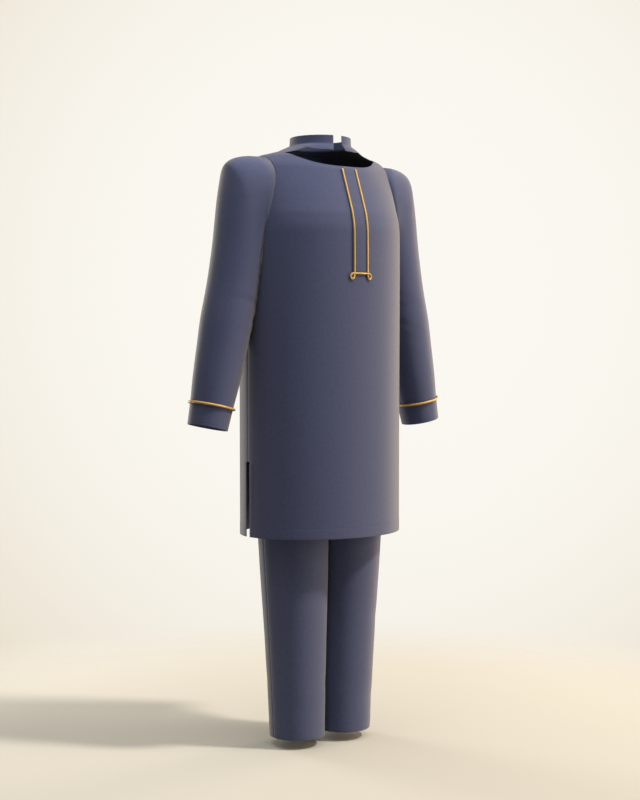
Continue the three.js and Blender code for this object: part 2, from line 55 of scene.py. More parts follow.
# %% [markdown]
# ## Camera
# It stands at the wearer's front right, at waist height, and is tipped slightly down. Its lens is
# long, which keeps the collar and the hems in true proportion, and is worked out from the width of
# view that a picture 800 pixels tall needs.

# %% Camera
CAMERA_PLACE = (-2.069, -3.009, -0.5015)
CAMERA_TURN = 0.6022            # radians from +Y towards +X
CAMERA_DIP = 0.0339             # radians below the horizon
FOCAL_PIXELS = 1444.67
PICTURE_HEIGHT = 800
SENSOR = 36.0

camera = bpy.data.objects.new("camera", bpy.data.cameras.new("camera"))
camera.data.sensor_width = SENSOR
camera.data.lens = SENSOR * FOCAL_PIXELS / PICTURE_HEIGHT
camera.location = CAMERA_PLACE
camera.rotation_euler = (math.pi / 2 - CAMERA_DIP, 0, -CAMERA_TURN)
bpy.context.scene.collection.objects.link(camera)
bpy.context.scene.camera = camera
bpy.context.scene.view_settings.view_transform = "Standard"
print("lens, mm:", round(camera.data.lens, 1))


# %% [markdown]
# ## Tools for materials
# Colours are written as sRGB hex codes, as a dye card gives them, and turned to the linear values
# that a renderer works with. One small function adds a node with its settings and its links, so
# that each material below reads as a short list.

# %% Colour and nodes
def linear(code):
    """Linear RGBA of an sRGB hex code: each channel c becomes c/12.92 or ((c+0.055)/1.055)^2.4."""
    channels = np.array([int(code[i:i + 2], 16) for i in (1, 3, 5)]) / 255
    low, high = channels / 12.92, ((channels + 0.055) / 1.055) ** 2.4
    return (*np.where(channels <= 0.04045, low, high).tolist(), 1.0)


def add_node(tree, kind, settings=None, inputs=None):
    """Adds a node; an input is given either a value or the socket that feeds it."""
    node = tree.nodes.new(kind)
    for name, value in (settings or {}).items():
        setattr(node, name, value)
    for name, value in (inputs or {}).items():
        if isinstance(value, bpy.types.NodeSocket):
            tree.links.new(value, node.inputs[name])
        else:
            node.inputs[name].default_value = value
    return node


def new_material(name):
    """An empty node material with its output, and the tree to build in."""
    material = bpy.data.materials.new(name)
    material.use_nodes = True
    material.node_tree.nodes.clear()
    output = add_node(material.node_tree, "ShaderNodeOutputMaterial")
    return material, material.node_tree, output


def fine_lines(tree, spacing, more=None):
    """Slanting lines at a spacing along the piece's own pattern, and the place on the pattern."""
    place = add_node(tree, "ShaderNodeUVMap", {"uv_map": "cloth"}).outputs["UV"]
    scale = 2 * math.pi / (10 * math.sqrt(2) * spacing)
    lines = add_node(tree, "ShaderNodeTexWave", {"bands_direction": "DIAGONAL"},
                     {"Vector": place, "Scale": scale, **(more or {})})
    return lines.outputs["Fac"], place


def surface(tree, output, height, strength, depth, inputs):
    """A Principled shader with these inputs and a bump, joined to the material's output."""
    bump = add_node(tree, "ShaderNodeBump", None,
                    {"Height": height, "Strength": strength, "Distance": depth})
    shader = add_node(tree, "ShaderNodeBsdfPrincipled", None,
                      {**inputs, "Normal": bump.outputs["Normal"]})
    tree.links.new(shader.outputs["BSDF"], output.inputs["Surface"])


# %% [markdown]
# ## Light, backdrop and floor
# Soft cream light from all round fills the shadows, and one warm key lamp from the wearer's front
# left models the folds and throws the hem's shadow on the legs. Three tall softboxes stand round
# the outfit, two of them behind it, and draw the pale line that napped cloth shows along its
# edges. The two on the wearer's left are warm, like the key lamp. A wide one hangs overhead. The
# backdrop is the world itself, a little brighter behind the outfit. The floor is pale matt card
# whose far edge fades into the backdrop, so that no horizon line cuts the picture.

# %% Backdrop
BACKDROP_CENTRE = "#fbf8f1"
BACKDROP_EDGE = "#e2d6bf"
BACKDROP_TURN = 0.637           # where its brightest point lies, radians from +Y towards +X
BACKDROP_LIFT = 0.049           # and radians above the horizon
BACKDROP_SPREAD = 0.45          # radians from there to its edge tone
FILL_COLOUR = "#f2ece1"
FILL_POWER = 0.33

world = bpy.data.worlds.new("studio")
bpy.context.scene.world = world
world.use_nodes = True
world.node_tree.nodes.clear()
tree = world.node_tree
centre = (math.sin(BACKDROP_TURN) * math.cos(BACKDROP_LIFT),
          math.cos(BACKDROP_TURN) * math.cos(BACKDROP_LIFT), math.sin(BACKDROP_LIFT))
way = add_node(tree, "ShaderNodeTexCoord")
closeness = add_node(tree, "ShaderNodeVectorMath", {"operation": "DOT_PRODUCT"},
                     {0: way.outputs["Generated"], 1: centre})
fade = add_node(tree, "ShaderNodeMapRange", {"interpolation_type": "SMOOTHSTEP"},
                {"Value": closeness.outputs["Value"], "From Min": math.cos(BACKDROP_SPREAD),
                 "From Max": 1.0})
cream = add_node(tree, "ShaderNodeMix", {"data_type": "RGBA"},
                 {"Factor": fade.outputs["Result"], 6: linear(BACKDROP_EDGE),
                  7: linear(BACKDROP_CENTRE)})
seen = add_node(tree, "ShaderNodeBackground", None, {"Color": cream.outputs[2]})
fill = add_node(tree, "ShaderNodeBackground", None,
                {"Color": linear(FILL_COLOUR), "Strength": FILL_POWER})
sight = add_node(tree, "ShaderNodeLightPath")
both = add_node(tree, "ShaderNodeMixShader", None,
                {0: sight.outputs["Is Camera Ray"], 1: fill.outputs[0], 2: seen.outputs[0]})
add_node(tree, "ShaderNodeOutputWorld", None, {"Surface": both.outputs[0]})

# %% Lamps
KEY_AZIMUTH = (0.675, -0.737)   # where it stands, seen from above
KEY_HEIGHT = math.radians(50)
KEY_POWER = 3.1
KEY_ANGLE = math.radians(6)
KEY_COLOUR = "#fff8f0"
WARM, WHITE = "#ffecd2", "#ffffff"
SOFTBOXES = {                   # place and size in metres, power in watts, colour
    "side_softbox": ((2.6, -1.9, -0.45), (0.9, 2.2), 80, WARM),
    "right_rim_softbox": ((2.48, 0.3, -0.45), (0.9, 2.2), 49, WARM),
    "left_rim_softbox": ((-0.61, 2.42, -0.45), (0.9, 2.2), 58, WHITE),
    "overhead_softbox": ((-0.3, -0.4, 1.9), (3.0, 3.0), 85, WHITE)}


def lamp(name, kind, towards, power):
    """A lamp turned so that it shines from that direction to the origin."""
    light = bpy.data.objects.new(name, bpy.data.lights.new(name, kind))
    light.data.energy = power
    light.rotation_euler = Vector(towards).to_track_quat("Z", "Y").to_euler()
    bpy.context.scene.collection.objects.link(light)
    return light


flat_share = math.cos(KEY_HEIGHT)
key = lamp("key_lamp", "SUN", (KEY_AZIMUTH[0] * flat_share, KEY_AZIMUTH[1] * flat_share,
                               math.sin(KEY_HEIGHT)), KEY_POWER)
key.data.angle = KEY_ANGLE
key.data.color = linear(KEY_COLOUR)[:3]
for name, (stand, size, power, colour) in SOFTBOXES.items():
    box = lamp(name, "AREA", stand, power)
    box.location = stand
    box.data.color = linear(colour)[:3]
    box.data.shape = "RECTANGLE"
    box.data.size, box.data.size_y = size
    box.visible_camera = False
print("lamps:", len(bpy.data.lights))

# %% Floor
FLOOR_Z = -1490
FLOOR_RADIUS = 2000
FADE_START = 0.75               # metres from the outfit where the card begins to fade
FADE_END = 1.7
FLOOR_SIDES = 96
CARD_COLOUR = "#aca89e"


def full_turn(count):
    """Evenly spaced angles, once round a circle."""
    return np.arange(count) * 2 * np.pi / count


def floor_disc(name, radius, height, sides):
    """A flat round floor: one polygon on a circle."""
    angle = full_turn(sides)
    ring = np.stack([radius * np.cos(angle), radius * np.sin(angle),
                     np.full(sides, height)], axis=1) * MM
    mesh = bpy.data.meshes.new(name)
    mesh.from_pydata(ring.tolist(), [], [list(range(sides))])
    disc = bpy.data.objects.new(name, mesh)
    bpy.context.scene.collection.objects.link(disc)
    return disc


floor_card, tree, output = new_material("matt_card")
place = add_node(tree, "ShaderNodeTexCoord")
apart = add_node(tree, "ShaderNodeVectorMath", {"operation": "MULTIPLY"},
                 {0: place.outputs["Object"], 1: (1, 1, 0)})
away = add_node(tree, "ShaderNodeVectorMath", {"operation": "LENGTH"}, {0: apart.outputs[0]})
far = add_node(tree, "ShaderNodeMapRange", {"interpolation_type": "SMOOTHSTEP"},
               {"Value": away.outputs["Value"], "From Min": FADE_START, "From Max": FADE_END})
card = add_node(tree, "ShaderNodeBsdfDiffuse", None, {"Color": linear(CARD_COLOUR)})
clear = add_node(tree, "ShaderNodeBsdfTransparent")
mixed = add_node(tree, "ShaderNodeMixShader", None,
                 {0: far.outputs["Result"], 1: card.outputs[0], 2: clear.outputs[0]})
tree.links.new(mixed.outputs[0], output.inputs["Surface"])
floor = floor_disc("floor", FLOOR_RADIUS, FLOOR_Z, FLOOR_SIDES)
floor.data.materials.append(floor_card)
print("floor at z, m:", FLOOR_Z * MM)

# %% [markdown]
# ## Navy suiting
# The cloth is a wool-blend suiting: a fine 2/2 twill, piece-dyed navy, milled and brushed so that
# a short nap covers it. Milling hides most of the weave, and the nap gives the eye two things: a
# matt, even face, and a pale velvety bloom wherever the surface turns away, which is what sheen
# does in the shader. Real twill lines lie 0.8 mm apart. They are drawn at 1.6 mm, because finer
# ones would blur to nothing in a picture of the whole outfit.

# %% Suiting
TWILL_SPACING = 1.6 * MM
SLUB_SIZE = 9 * MM              # soft unevenness of the yarn
NAP_SIZE = 0.9 * MM
NAP_DEPTH = 0.6                 # depth of the nap's bumps against the twill's
NAP_TINT = "#f6e5ad"            # the bloom's own colour


def suiting(name, deep, light, sheen):
    """Brushed twill: twill lines and nap as bump, two dye tones and a rougher or smoother nap."""
    material, tree, output = new_material(name)
    twill, place = fine_lines(tree, TWILL_SPACING,
                              {"Distortion": 1.2, "Detail": 1.0, "Detail Scale": 2.0})
    nap = add_node(tree, "ShaderNodeTexNoise", None,
                   {"Vector": place, "Scale": 1 / NAP_SIZE, "Detail": 2.0})
    slub = add_node(tree, "ShaderNodeTexNoise", None,
                    {"Vector": place, "Scale": 1 / SLUB_SIZE, "Detail": 3.0})
    relief = add_node(tree, "ShaderNodeMath", {"operation": "MULTIPLY_ADD"},
                      {0: nap.outputs["Fac"], 1: NAP_DEPTH, 2: twill})
    tone = add_node(tree, "ShaderNodeMapRange", None,
                    {"Value": slub.outputs["Fac"], "From Min": 0.3, "From Max": 0.7})
    dye = add_node(tree, "ShaderNodeMix", {"data_type": "RGBA"},
                   {"Factor": tone.outputs["Result"], 6: linear(deep), 7: linear(light)})
    brushed = add_node(tree, "ShaderNodeMapRange", None,
                       {"Value": nap.outputs["Fac"], "From Min": 0.3, "From Max": 0.7,
                        "To Min": 0.56, "To Max": 0.68})
    surface(tree, output, height=relief.outputs[0], strength=0.35, depth=0.12 * MM,
            inputs={"Base Color": dye.outputs[2], "Roughness": brushed.outputs["Result"],
                    "IOR": 1.5, "Specular IOR Level": 0.05, "Sheen Weight": sheen,
                    "Sheen Roughness": 0.5, "Sheen Tint": linear(NAP_TINT)})
    return material


navy_suiting = suiting("navy_suiting", "#3e4460", "#424864", 0.29)

# %% [markdown]
# ## Sewing thread
# Spun polyester in the cloth's own navy, two plies twisted together. It is smoother than the
# napped cloth, so a row of stitches gives the eye a fine line of small glints. The plies cross
# the thread 0.5 mm apart.

# %% Thread material
PLY_SPACING = 0.5 * MM


def polyester_thread(name, colour):
    """Twisted thread: the plies as bump, and a duller surface down between them."""
    material, tree, output = new_material(name)
    ply, _ = fine_lines(tree, PLY_SPACING)
    gleam = add_node(tree, "ShaderNodeMapRange", None,
                     {"Value": ply, "To Min": 0.6, "To Max": 0.4})
    surface(tree, output, height=ply, strength=0.4, depth=0.06 * MM,
            inputs={"Base Color": linear(colour), "Roughness": gleam.outputs["Result"],
                    "Specular IOR Level": 0.4})
    return material


navy_thread = polyester_thread("navy_polyester_thread", "#3a4064")

# %% [markdown]
# ## Gold cord
# The cord is three strands laid together, each of gold viscose filament over a cotton core. The
# filament has a soft satin gleam, brightest along each strand. The strands are real geometry
# here. The filaments are fine lines 0.4 mm apart, drawn as bump and as a slight change of gloss.
# Painted shade makes the gold darker down between the strands and lighter on their crowns.

# %% Cord material
FILAMENT_SPACING = 0.4 * MM


def gold_viscose(name, deep, light):
    """Satin gold: filament lines as bump along the strand, painted shade darker between strands.
    """
    material, tree, output = new_material(name)
    filament, _ = fine_lines(tree, FILAMENT_SPACING, {"Distortion": 0.8, "Detail": 1.0})
    # painted shade: deep gold where strand is 0, between the lobes, light gold on their crowns
    groove = add_node(tree, "ShaderNodeAttribute", {"attribute_name": "strand"})
    tone = add_node(tree, "ShaderNodeMix", {"data_type": "RGBA"},
                    {"Factor": groove.outputs["Fac"], 6: linear(deep), 7: linear(light)})
    satin = add_node(tree, "ShaderNodeMapRange", None,
                     {"Value": filament, "To Min": 0.5, "To Max": 0.36})
    surface(tree, output, height=filament, strength=0.3, depth=0.1 * MM,
            inputs={"Base Color": tone.outputs[2], "Metallic": 0.35,
                    "Roughness": satin.outputs["Result"], "Specular IOR Level": 0.5})
    return material


gold_cord = gold_viscose("gold_viscose_cord", "#80601f", "#c9a25c")
print("materials:", sorted(m.name for m in bpy.data.materials if m.users == 0))


# %% [markdown]
# ## Curves from a few measured rows
# A tailor's size chart gives widths at a few heights, and the cloth runs smoothly between them.
# The tables below do the same: each named column becomes a smooth curve of the row number. A
# cubic through the rows would overshoot where the spacing changes, so the slope at each row is
# the harmonic mean of its neighbours' and is zero at a turning point.

# %% Tables
FINE_LEVELS = 12001             # entries in the list that heights are looked up in


def table(names, rows):
    """Columns of a table by name, each as an array."""
    return dict(zip(names.split(), np.array(rows, float).T))


def rows_of(chart):
    """Each row of a table, with its values by name."""
    return [dict(zip(chart, values)) for values in zip(*chart.values())]


def smooth(chart, column, level):
    """One column as a cubic curve of the row number, with slopes that never overshoot."""
    values = chart[column]
    step = np.diff(values)
    before, after = step[:-1], step[1:]
    agree = before * after > 0
    total = np.where(agree, before + after, 1)
    inner = np.where(agree, 2 * before * after / total, 0)
    slope = np.concatenate([step[:1], inner, step[-1:]])
    at = np.clip(np.asarray(level, float), 0, len(values) - 1)
    i = np.minimum(at.astype(int), len(values) - 2)
    t = at - i
    bend = t * t * (3 - 2 * t)
    reach = t * (1 - t) ** 2 * slope[i] + t * t * (t - 1) * slope[i + 1]
    return values[i] + step[i] * bend + reach


def level_at(chart, height):
    """The row number, with its fraction, at a height, read off a fine list of heights."""
    levels = np.linspace(0, len(chart["z"]) - 1, FINE_LEVELS)
    heights = smooth(chart, "z", levels)
    order = np.argsort(heights, kind="stable")
    return np.interp(height, heights[order], levels[order])


def ease(t):
    """Smooth step from 0 to 1."""
    t = np.clip(t, 0, 1)
    return t * t * (3 - 2 * t)


def mix(a, b, t):
    """Straight blend from a to b."""
    return a + (b - a) * t


def signed_power(value, power):
    """A power that keeps the sign."""
    return np.sign(value) * np.abs(value) ** power


# %% [markdown]
# ## The tunic's surface
# Above the hem the tunic is one smooth tube that closes in over the shoulders to the collar. A
# point on it has an angle, from the front centre round towards the wearer's left, and a level up
# the size chart. Each section is half an ellipse in front and half behind. The tuck column draws
# the chest in between its centre and its sides, where the cloth falls from the shoulder to the
# fullest point of the chest. One surface for front, back and collar makes their seams meet.

# %% Size chart and section
HEM, SLIT_TOP, SLIT_GAP = -957, -773, 15
UNDERARM, ARM_TOP = -255, -27
WALL, SEAM = 1.6, 0.3

BODY = table("z side front back tuck", [
    (HEM, 215, 171, 170, 0), (-700, 215, 172, 170.6, 0), (-450, 215, 172.8, 171, 0),
    (-290, 215, 173.2, 170.5, 0), (-215, 214.8, 172.6, 169, 0),
    (-175, 213.4, 166.8, 165, 0.005), (-140, 211.6, 154.6, 158.5, 0.02),
    (-105, 209.8, 141, 148.5, 0.04), (-75, 208, 129, 137, 0.065), (-56, 205, 121, 127, 0.08),
    (-43, 199, 112, 117.5, 0.08), (-33, 190, 104, 110, 0.08), (-24, 177, 97, 102, 0.07),
    (-17, 152, 92, 96, 0.06), (-8, 120, 86, 90, 0.04), (-1, 104, 83, 86, 0.02),
    (5, 90, 80, 81, 0), (12, 78, 77, 77, 0), (31, 76.5, 76.5, 76.5, 0)])
BODY_TOP = len(BODY["z"]) - 1
CORRECTIONS, HALVINGS = 12, 40  # steps of the two searches for a place on the surface
SIDE_ANGLE = 0.2                # a side edge lies at least this far from a centre line


def section_depth(chart, ahead, level):
    """How deep a section is, in front of the axis where ahead is true and behind it elsewhere."""
    return np.where(ahead, smooth(chart, "front", level), smooth(chart, "back", level))


def body_point(angle, level):
    """x is side*sin, y is minus depth*cos, both drawn in by tuck*sin(2*angle)^2 in front."""
    along = np.cos(angle)
    ahead = along > 0
    depth = section_depth(BODY, ahead, level)
    tuck = np.where(ahead, smooth(BODY, "tuck", level), 0)
    scale = 1 - tuck * np.sin(2 * angle) ** 2
    x = smooth(BODY, "side", level) * np.sin(angle) * scale
    y = -depth * along * scale
    z = smooth(BODY, "z", level) + 0 * x
    return np.stack(np.broadcast_arrays(x, y, z), axis=-1)


def unit(vectors):
    """Vectors of length one."""
    return vectors / np.linalg.norm(vectors, axis=-1, keepdims=True)


def body_normal(angle, level):
    """The way out of the surface: step round crossed with step up."""
    step = 0.002
    turn = body_point(angle + step, level) - body_point(angle - step, level)
    up = (body_point(angle, np.minimum(level + step, BODY_TOP))
          - body_point(angle, np.maximum(level - step, 0)))
    return unit(np.cross(turn, up))


def angle_at_depth(y, level):
    """The angle on the wearer's left where a section lies at depth y, by repeated correction."""
    angle = np.full(np.broadcast(y, level).shape, np.pi / 2)
    depth = section_depth(BODY, y < 0, level)
    for _ in range(CORRECTIONS):
        angle = np.clip(angle + (y - body_point(angle, level)[..., 1]) / depth,
                        SIDE_ANGLE, np.pi - SIDE_ANGLE)
    return angle


# %% [markdown]
# ## The edges of the pieces
# The armhole is an egg in the side view. The shoulder seam lies forward of the shoulder, as on
# most shirts, so the back piece wraps over it. The neckline is a scoop that climbs to two tips,
# and the collar is sewn to the back piece and hangs free across the front. Every edge is a place
# on the tunic's surface, as an angle and a level.

# %% Edges
ARMHOLE_DEPTH, ARMHOLE_Y, ARMHOLE_SQUARE, SHOULDER_SEAM_Y = 71, 3, 2.6, -40
NECK_FRONT, NECK_RISE, NECK_TIP, NECK_POWER = -50, 34, 133, 3
COLLAR_SEAM, COLLAR_FRONT, FREE_ANGLE = 4, -6, math.radians(48)
COLLAR_GAP, COLLAR_OVERLAP, DIP_HALF, TIP_TUCK = 24.5, 0.3, 0.35, 0.97
SIDE_SHARE = 0.6                # share of a panel's side edge that lies below the underarm
SHOULDER_SHARE = 0.86           # share of the front's top edge that is neckline
BACK_NECK_SHARE, BACK_SEAM_SHARE = 0.74, 0.87
TOP_START = 0.68                # where the panel begins to take up the shape of its top edge


def armhole_at(turn):
    """Place on the armhole: turn 0 is the shoulder, a quarter is the front, a half is below."""
    power = 2 / ARMHOLE_SQUARE
    middle, reach = (UNDERARM + ARM_TOP) / 2, (ARM_TOP - UNDERARM) / 2
    y = ARMHOLE_Y - ARMHOLE_DEPTH * signed_power(np.sin(turn), power)
    level = level_at(BODY, middle + reach * signed_power(np.cos(turn), power))
    return angle_at_depth(y, level), level


SEAM_TURN = math.asin(((ARMHOLE_Y - SHOULDER_SEAM_Y) / ARMHOLE_DEPTH) ** (ARMHOLE_SQUARE / 2))
SEAM_END = armhole_at(np.array(SEAM_TURN))
TIP_LEVEL = level_at(BODY, NECK_FRONT + NECK_RISE)
TIP_ANGLE = math.asin(NECK_TIP / smooth(BODY, "side", TIP_LEVEL) / TIP_TUCK)


def choose(picks, places, rest):
    """The place, as angle and level, that belongs to the first pick that holds."""
    return tuple(np.select(picks, [place[k] for place in places], rest[k]) for k in (0, 1))


def side_edge(v, facing):
    """Up the slit and side seam to the underarm, then round the armhole to the shoulder seam."""
    z = mix(HEM, UNDERARM, np.minimum(v / SIDE_SHARE, 1))
    half = np.where(z < SLIT_TOP, SLIT_GAP / 2, SEAM / 2)
    low_level = level_at(BODY, z)
    low_angle = angle_at_depth(facing * half, low_level)
    t = np.clip((v - SIDE_SHARE) / (1 - SIDE_SHARE), 0, 1)
    goal = SEAM_TURN if facing < 0 else 2 * np.pi + SEAM_TURN
    return choose([v <= SIDE_SHARE], [(low_angle, low_level)], armhole_at(mix(np.pi, goal, t)))


def shoulder_seam(t):
    """From the armhole at 0 to the tip of the neckline at 1."""
    return mix(SEAM_END[0], TIP_ANGLE, t), mix(SEAM_END[1], TIP_LEVEL, t)


def neckline(angle):
    """The level where the surface at this angle meets the scoop, found by halving."""
    low, high = np.zeros(np.shape(angle)), np.full(np.shape(angle), float(BODY_TOP))
    for _ in range(HALVINGS):
        middle = (low + high) / 2
        point = body_point(angle, middle)
        scoop = NECK_FRONT + NECK_RISE * (np.abs(point[..., 0]) / NECK_TIP) ** NECK_POWER
        below = point[..., 2] < scoop
        low, high = np.where(below, middle, low), np.where(below, high, middle)
    return angle, (low + high) / 2


def collar_edge(angle):
    """The collar's lower edge, sewn round the back and dipping where it hangs free in front."""
    dip = ease((FREE_ANGLE + DIP_HALF - np.abs(angle)) / (2 * DIP_HALF))
    return angle, level_at(BODY, mix(COLLAR_SEAM, COLLAR_FRONT, dip))


def front_top(u):
    """Top edge of the front: the scoop, then the shoulder seam."""
    scoop = neckline(TIP_ANGLE * np.minimum(u / SHOULDER_SHARE, 1))
    seam = shoulder_seam((1 - u) / (1 - SHOULDER_SHARE))
    return choose([u > SHOULDER_SHARE], [seam], scoop)


def back_top(u):
    """Top edge of the back: the collar seam, a short free edge, then the shoulder seam."""
    sewn = collar_edge(mix(np.pi, FREE_ANGLE, np.minimum(u / BACK_NECK_SHARE, 1)))
    t = np.clip((u - BACK_NECK_SHARE) / (BACK_SEAM_SHARE - BACK_NECK_SHARE), 0, 1)
    start = collar_edge(FREE_ANGLE)
    free = mix(start[0], TIP_ANGLE, t), mix(start[1], TIP_LEVEL, t)
    seam = shoulder_seam((1 - u) / (1 - BACK_SEAM_SHARE))
    return choose([u <= BACK_NECK_SHARE, u <= BACK_SEAM_SHARE], [sewn, free], seam)


def panel_place(u, v, facing):
    """A panel at u across (-1 to 1) and v up (0 to 1), blended between its side and top edges."""
    centre = 0 if facing < 0 else np.pi
    top_edge = front_top if facing < 0 else back_top
    top, corner = top_edge(np.abs(u)), top_edge(np.array(1.0))
    edge = side_edge(v, facing)
    rise = ease((v - TOP_START) / (1 - TOP_START))
    side = np.abs(u) * (np.abs(edge[0] - centre) - rise * np.abs(corner[0] - centre))
    away = side + rise * np.abs(top[0] - centre)
    climb = np.clip((v - SIDE_SHARE) / (1 - SIDE_SHARE), 0, 1)
    level_low = level_at(BODY, UNDERARM)
    inside = np.where(climb > 0, mix(level_low, corner[1], climb), edge[1])
    base = mix(inside, edge[1], np.abs(u) ** 3)
    return centre - facing * np.sign(u) * away, base + rise * (top[1] - corner[1])


# %% [markdown]
# ## A piece of cloth as a mesh
# Cloth has two faces and a turned edge. The outer face is a grid of points, the inner face is the
# same grid moved in by the cloth's thickness, and narrow strips close the edges. The outer face
# is drawn in a little at the very edge, so that a pressed edge catches the light as a rounded
# fold does. The pattern coordinates are arc lengths in metres, so the weave keeps its size
# everywhere.

# %% Shell of cloth
FOLD_ROLL = 0.3                 # how far the cloth's very edge is drawn in
BAND_ROLL = 0.45                # and that of a stiffened or double band


def arc(grid, axis):
    """Running length along the grid lines of one axis, from zero, in millimetres."""
    length = np.linalg.norm(np.diff(grid, axis=axis), axis=-1)
    run = np.cumsum(length, axis=axis)
    start = np.zeros_like(np.take(run, [0], axis=axis))
    return np.concatenate([start, run], axis=axis)


def corner_ids(high, wide):
    """Row and column of the four corners of every cell, with high cells up and wide across."""
    j, i = np.meshgrid(np.arange(high), np.arange(wide), indexing="ij")
    rows = np.stack([j, j, j + 1, j + 1], axis=-1).reshape(-1, 4)
    columns = np.stack([i, i + 1, i + 1, i], axis=-1).reshape(-1, 4)
    return rows, columns


def make_object(name, points, faces, pattern, material, strand=None):
    """A smooth mesh object from points in millimetres, faces, and a pattern place per corner."""
    mesh = bpy.data.meshes.new(name)
    mesh.from_pydata((points * MM).tolist(), [], faces)
    layer = mesh.uv_layers.new(name="cloth")
    layer.data.foreach_set("uv", (pattern.reshape(-1, 2) * MM).ravel())
    # strand, on a cord, sets its painted shade between the strands
    if strand is not None:
        mesh.attributes.new("strand", "FLOAT", "POINT").data.foreach_set("value", strand)
    mesh.shade_smooth()
    mesh.materials.append(material)
    piece = bpy.data.objects.new(name, mesh)
    bpy.context.scene.collection.objects.link(piece)
    return piece


def cloth_shell(name, outer, normal, closed=False, wall=WALL, roll=FOLD_ROLL):
    """Two faces one wall apart and the strips that close them, with faces pointing outwards."""
    high, wide = outer.shape[:2]
    around = np.concatenate([outer, outer[:, :1]], axis=1) if closed else outer
    across, up = arc(around, 1), arc(around, 0)
    across = across - across[:, -1:] / 2
    rim = np.zeros((high, wide, 1))
    rim[[0, -1]] = roll
    if not closed:
        rim[:, [0, -1]] = roll
    points = np.concatenate([(outer - normal * rim).reshape(-1, 3),
                             (outer - normal * (wall - rim)).reshape(-1, 3)])
    cells = wide if closed else wide - 1
    rows, columns = corner_ids(high - 1, cells)

    def ids(row, column, side):
        """Vertex numbers, where side is 0 on the outer face and 1 on the inner one."""
        return side * high * wide + row * wide + column % wide

    def place(row, column):
        """Places on the pattern, as arc lengths across and up."""
        return np.stack([across[row, column], up[row, column]], axis=-1)

    i, j = np.arange(cells), np.arange(high - 1)
    across_strip = np.stack([i + 1, i, i, i + 1], axis=-1)
    up_strip = np.stack([j, j + 1, j + 1, j], axis=-1)
    strips = [(0, across_strip, 1), (high - 1, across_strip, -1)]
    if not closed:
        strips += [(up_strip, 0, 1), (up_strip, wide - 1, -1)]
    faces = [ids(rows, columns, 0), ids(rows, columns, 1)[:, ::-1]]
    marks = [place(rows, columns), place(rows, columns)[:, ::-1]]
    for row, column, order in strips:
        faces.append(ids(row, column, np.array([0, 0, 1, 1]))[:, ::order])
        marks.append(place(row, column)[:, ::order])
    faces, marks = np.concatenate(faces), np.concatenate(marks)
    way = np.cross(outer[0, 1] - outer[0, 0], outer[1, 0] - outer[0, 0])
    if way @ normal[0, 0] < 0:
        faces, marks = faces[:, ::-1], marks[:, ::-1]
    return make_object(name, points, faces.tolist(), marks, navy_suiting)


def report(piece, outer):
    """Prints how wide and long the piece's cloth is at most, and its area."""
    wide, long = arc(outer, 1)[:, -1].max() * MM, arc(outer, 0)[-1].max() * MM
    a, b = outer[1:, :-1] - outer[:-1, :-1], outer[:-1, 1:] - outer[:-1, :-1]
    area = np.linalg.norm(np.cross(a, b), axis=-1).sum() * MM * MM
    print(f"{piece.name}: {wide:.3f} x {long:.3f} m, {area:.3f} m2, "
          f"{len(piece.data.polygons)} faces")


def dress(piece, node):
    """The piece moves with the model and stands for its plain solid."""
    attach(piece, "root")
    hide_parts(node)


def cloth_piece(node, grid, normal, **edges):
    """A node's piece of cloth, made, dressed and reported."""
    piece = cloth_shell(f"{node}_cloth", grid, normal, **edges)
    dress(piece, node)
    report(piece, grid)
    return piece


# %% [markdown]
# ## Relief: seams, turned edges and soft drape
# Three things break up a plain cloth surface. A seam sinks, because its allowances are pressed
# apart under it. A hem is double, so it stands out by a cloth's thickness and sinks again along
# its stitch line. And the cloth ripples softly where it hangs free. Each is a small offset along
# the normal, worked out from the distance to an edge along the cloth.

# %% Relief functions
HEM_TURN, HEM_STITCH = 30, 27
SLIT_TURN, SLIT_STITCH = 14, 11
NECK_STITCH = 5
HEM_LIFT, TURN_STEP = 0.45, 3   # double cloth stands out this far, over a step this wide
SEAM_DIP = (0.4, 3)             # depth and width of a pressed seam's groove
STITCH_DIP = (0.35, 1.3)
SHOULDER_DIP, NECK_DIP = (0.6, 4), (0.3, 1.4)
RIPPLE_START, RIPPLE_FADE = -230, 420
RIPPLE_WIDTHS, RIPPLE_DEPTHS = (41, 24), (0.55, 0.3)
RIPPLE_SWAYS = (230, 150)       # height over which each kind sways sideways


def dip(distance, depth, width):
    """A smooth trough at distance zero."""
    return -depth * np.exp(-(distance / width) ** 2)


def turned_edge(distance, turn, stitch):
    """Double cloth up to the turn, with a fine groove along the stitches."""
    double = HEM_LIFT * ease((turn - distance) / TURN_STEP + 0.5)
    return double + dip(distance - stitch, *STITCH_DIP)


def hanging_ripple(across, height, seed):
    """Broad vertical ripples of two uneven widths that fade in below a height."""
    grow = ease((RIPPLE_START - height) / RIPPLE_FADE)
    slow_sway = 0.7 * np.sin(height / RIPPLE_SWAYS[0] + seed)
    quick_sway = 0.5 * np.sin(height / RIPPLE_SWAYS[1])
    slow = np.sin(across / RIPPLE_WIDTHS[0] + seed + slow_sway)
    quick = np.sin(across / RIPPLE_WIDTHS[1] + 2.1 * seed + quick_sway)
    return grow * (RIPPLE_DEPTHS[0] * slow + RIPPLE_DEPTHS[1] * quick)


# %% [markdown]
# ## Front and back of the tunic
# Each is cut in one piece, so each is one grid: across from side to side, up from hem to
# shoulder. Extra grid lines lie close to the edges, where the cloth turns under, and at the top
# of the slit, where the side edge steps from the open slit to the sewn seam.

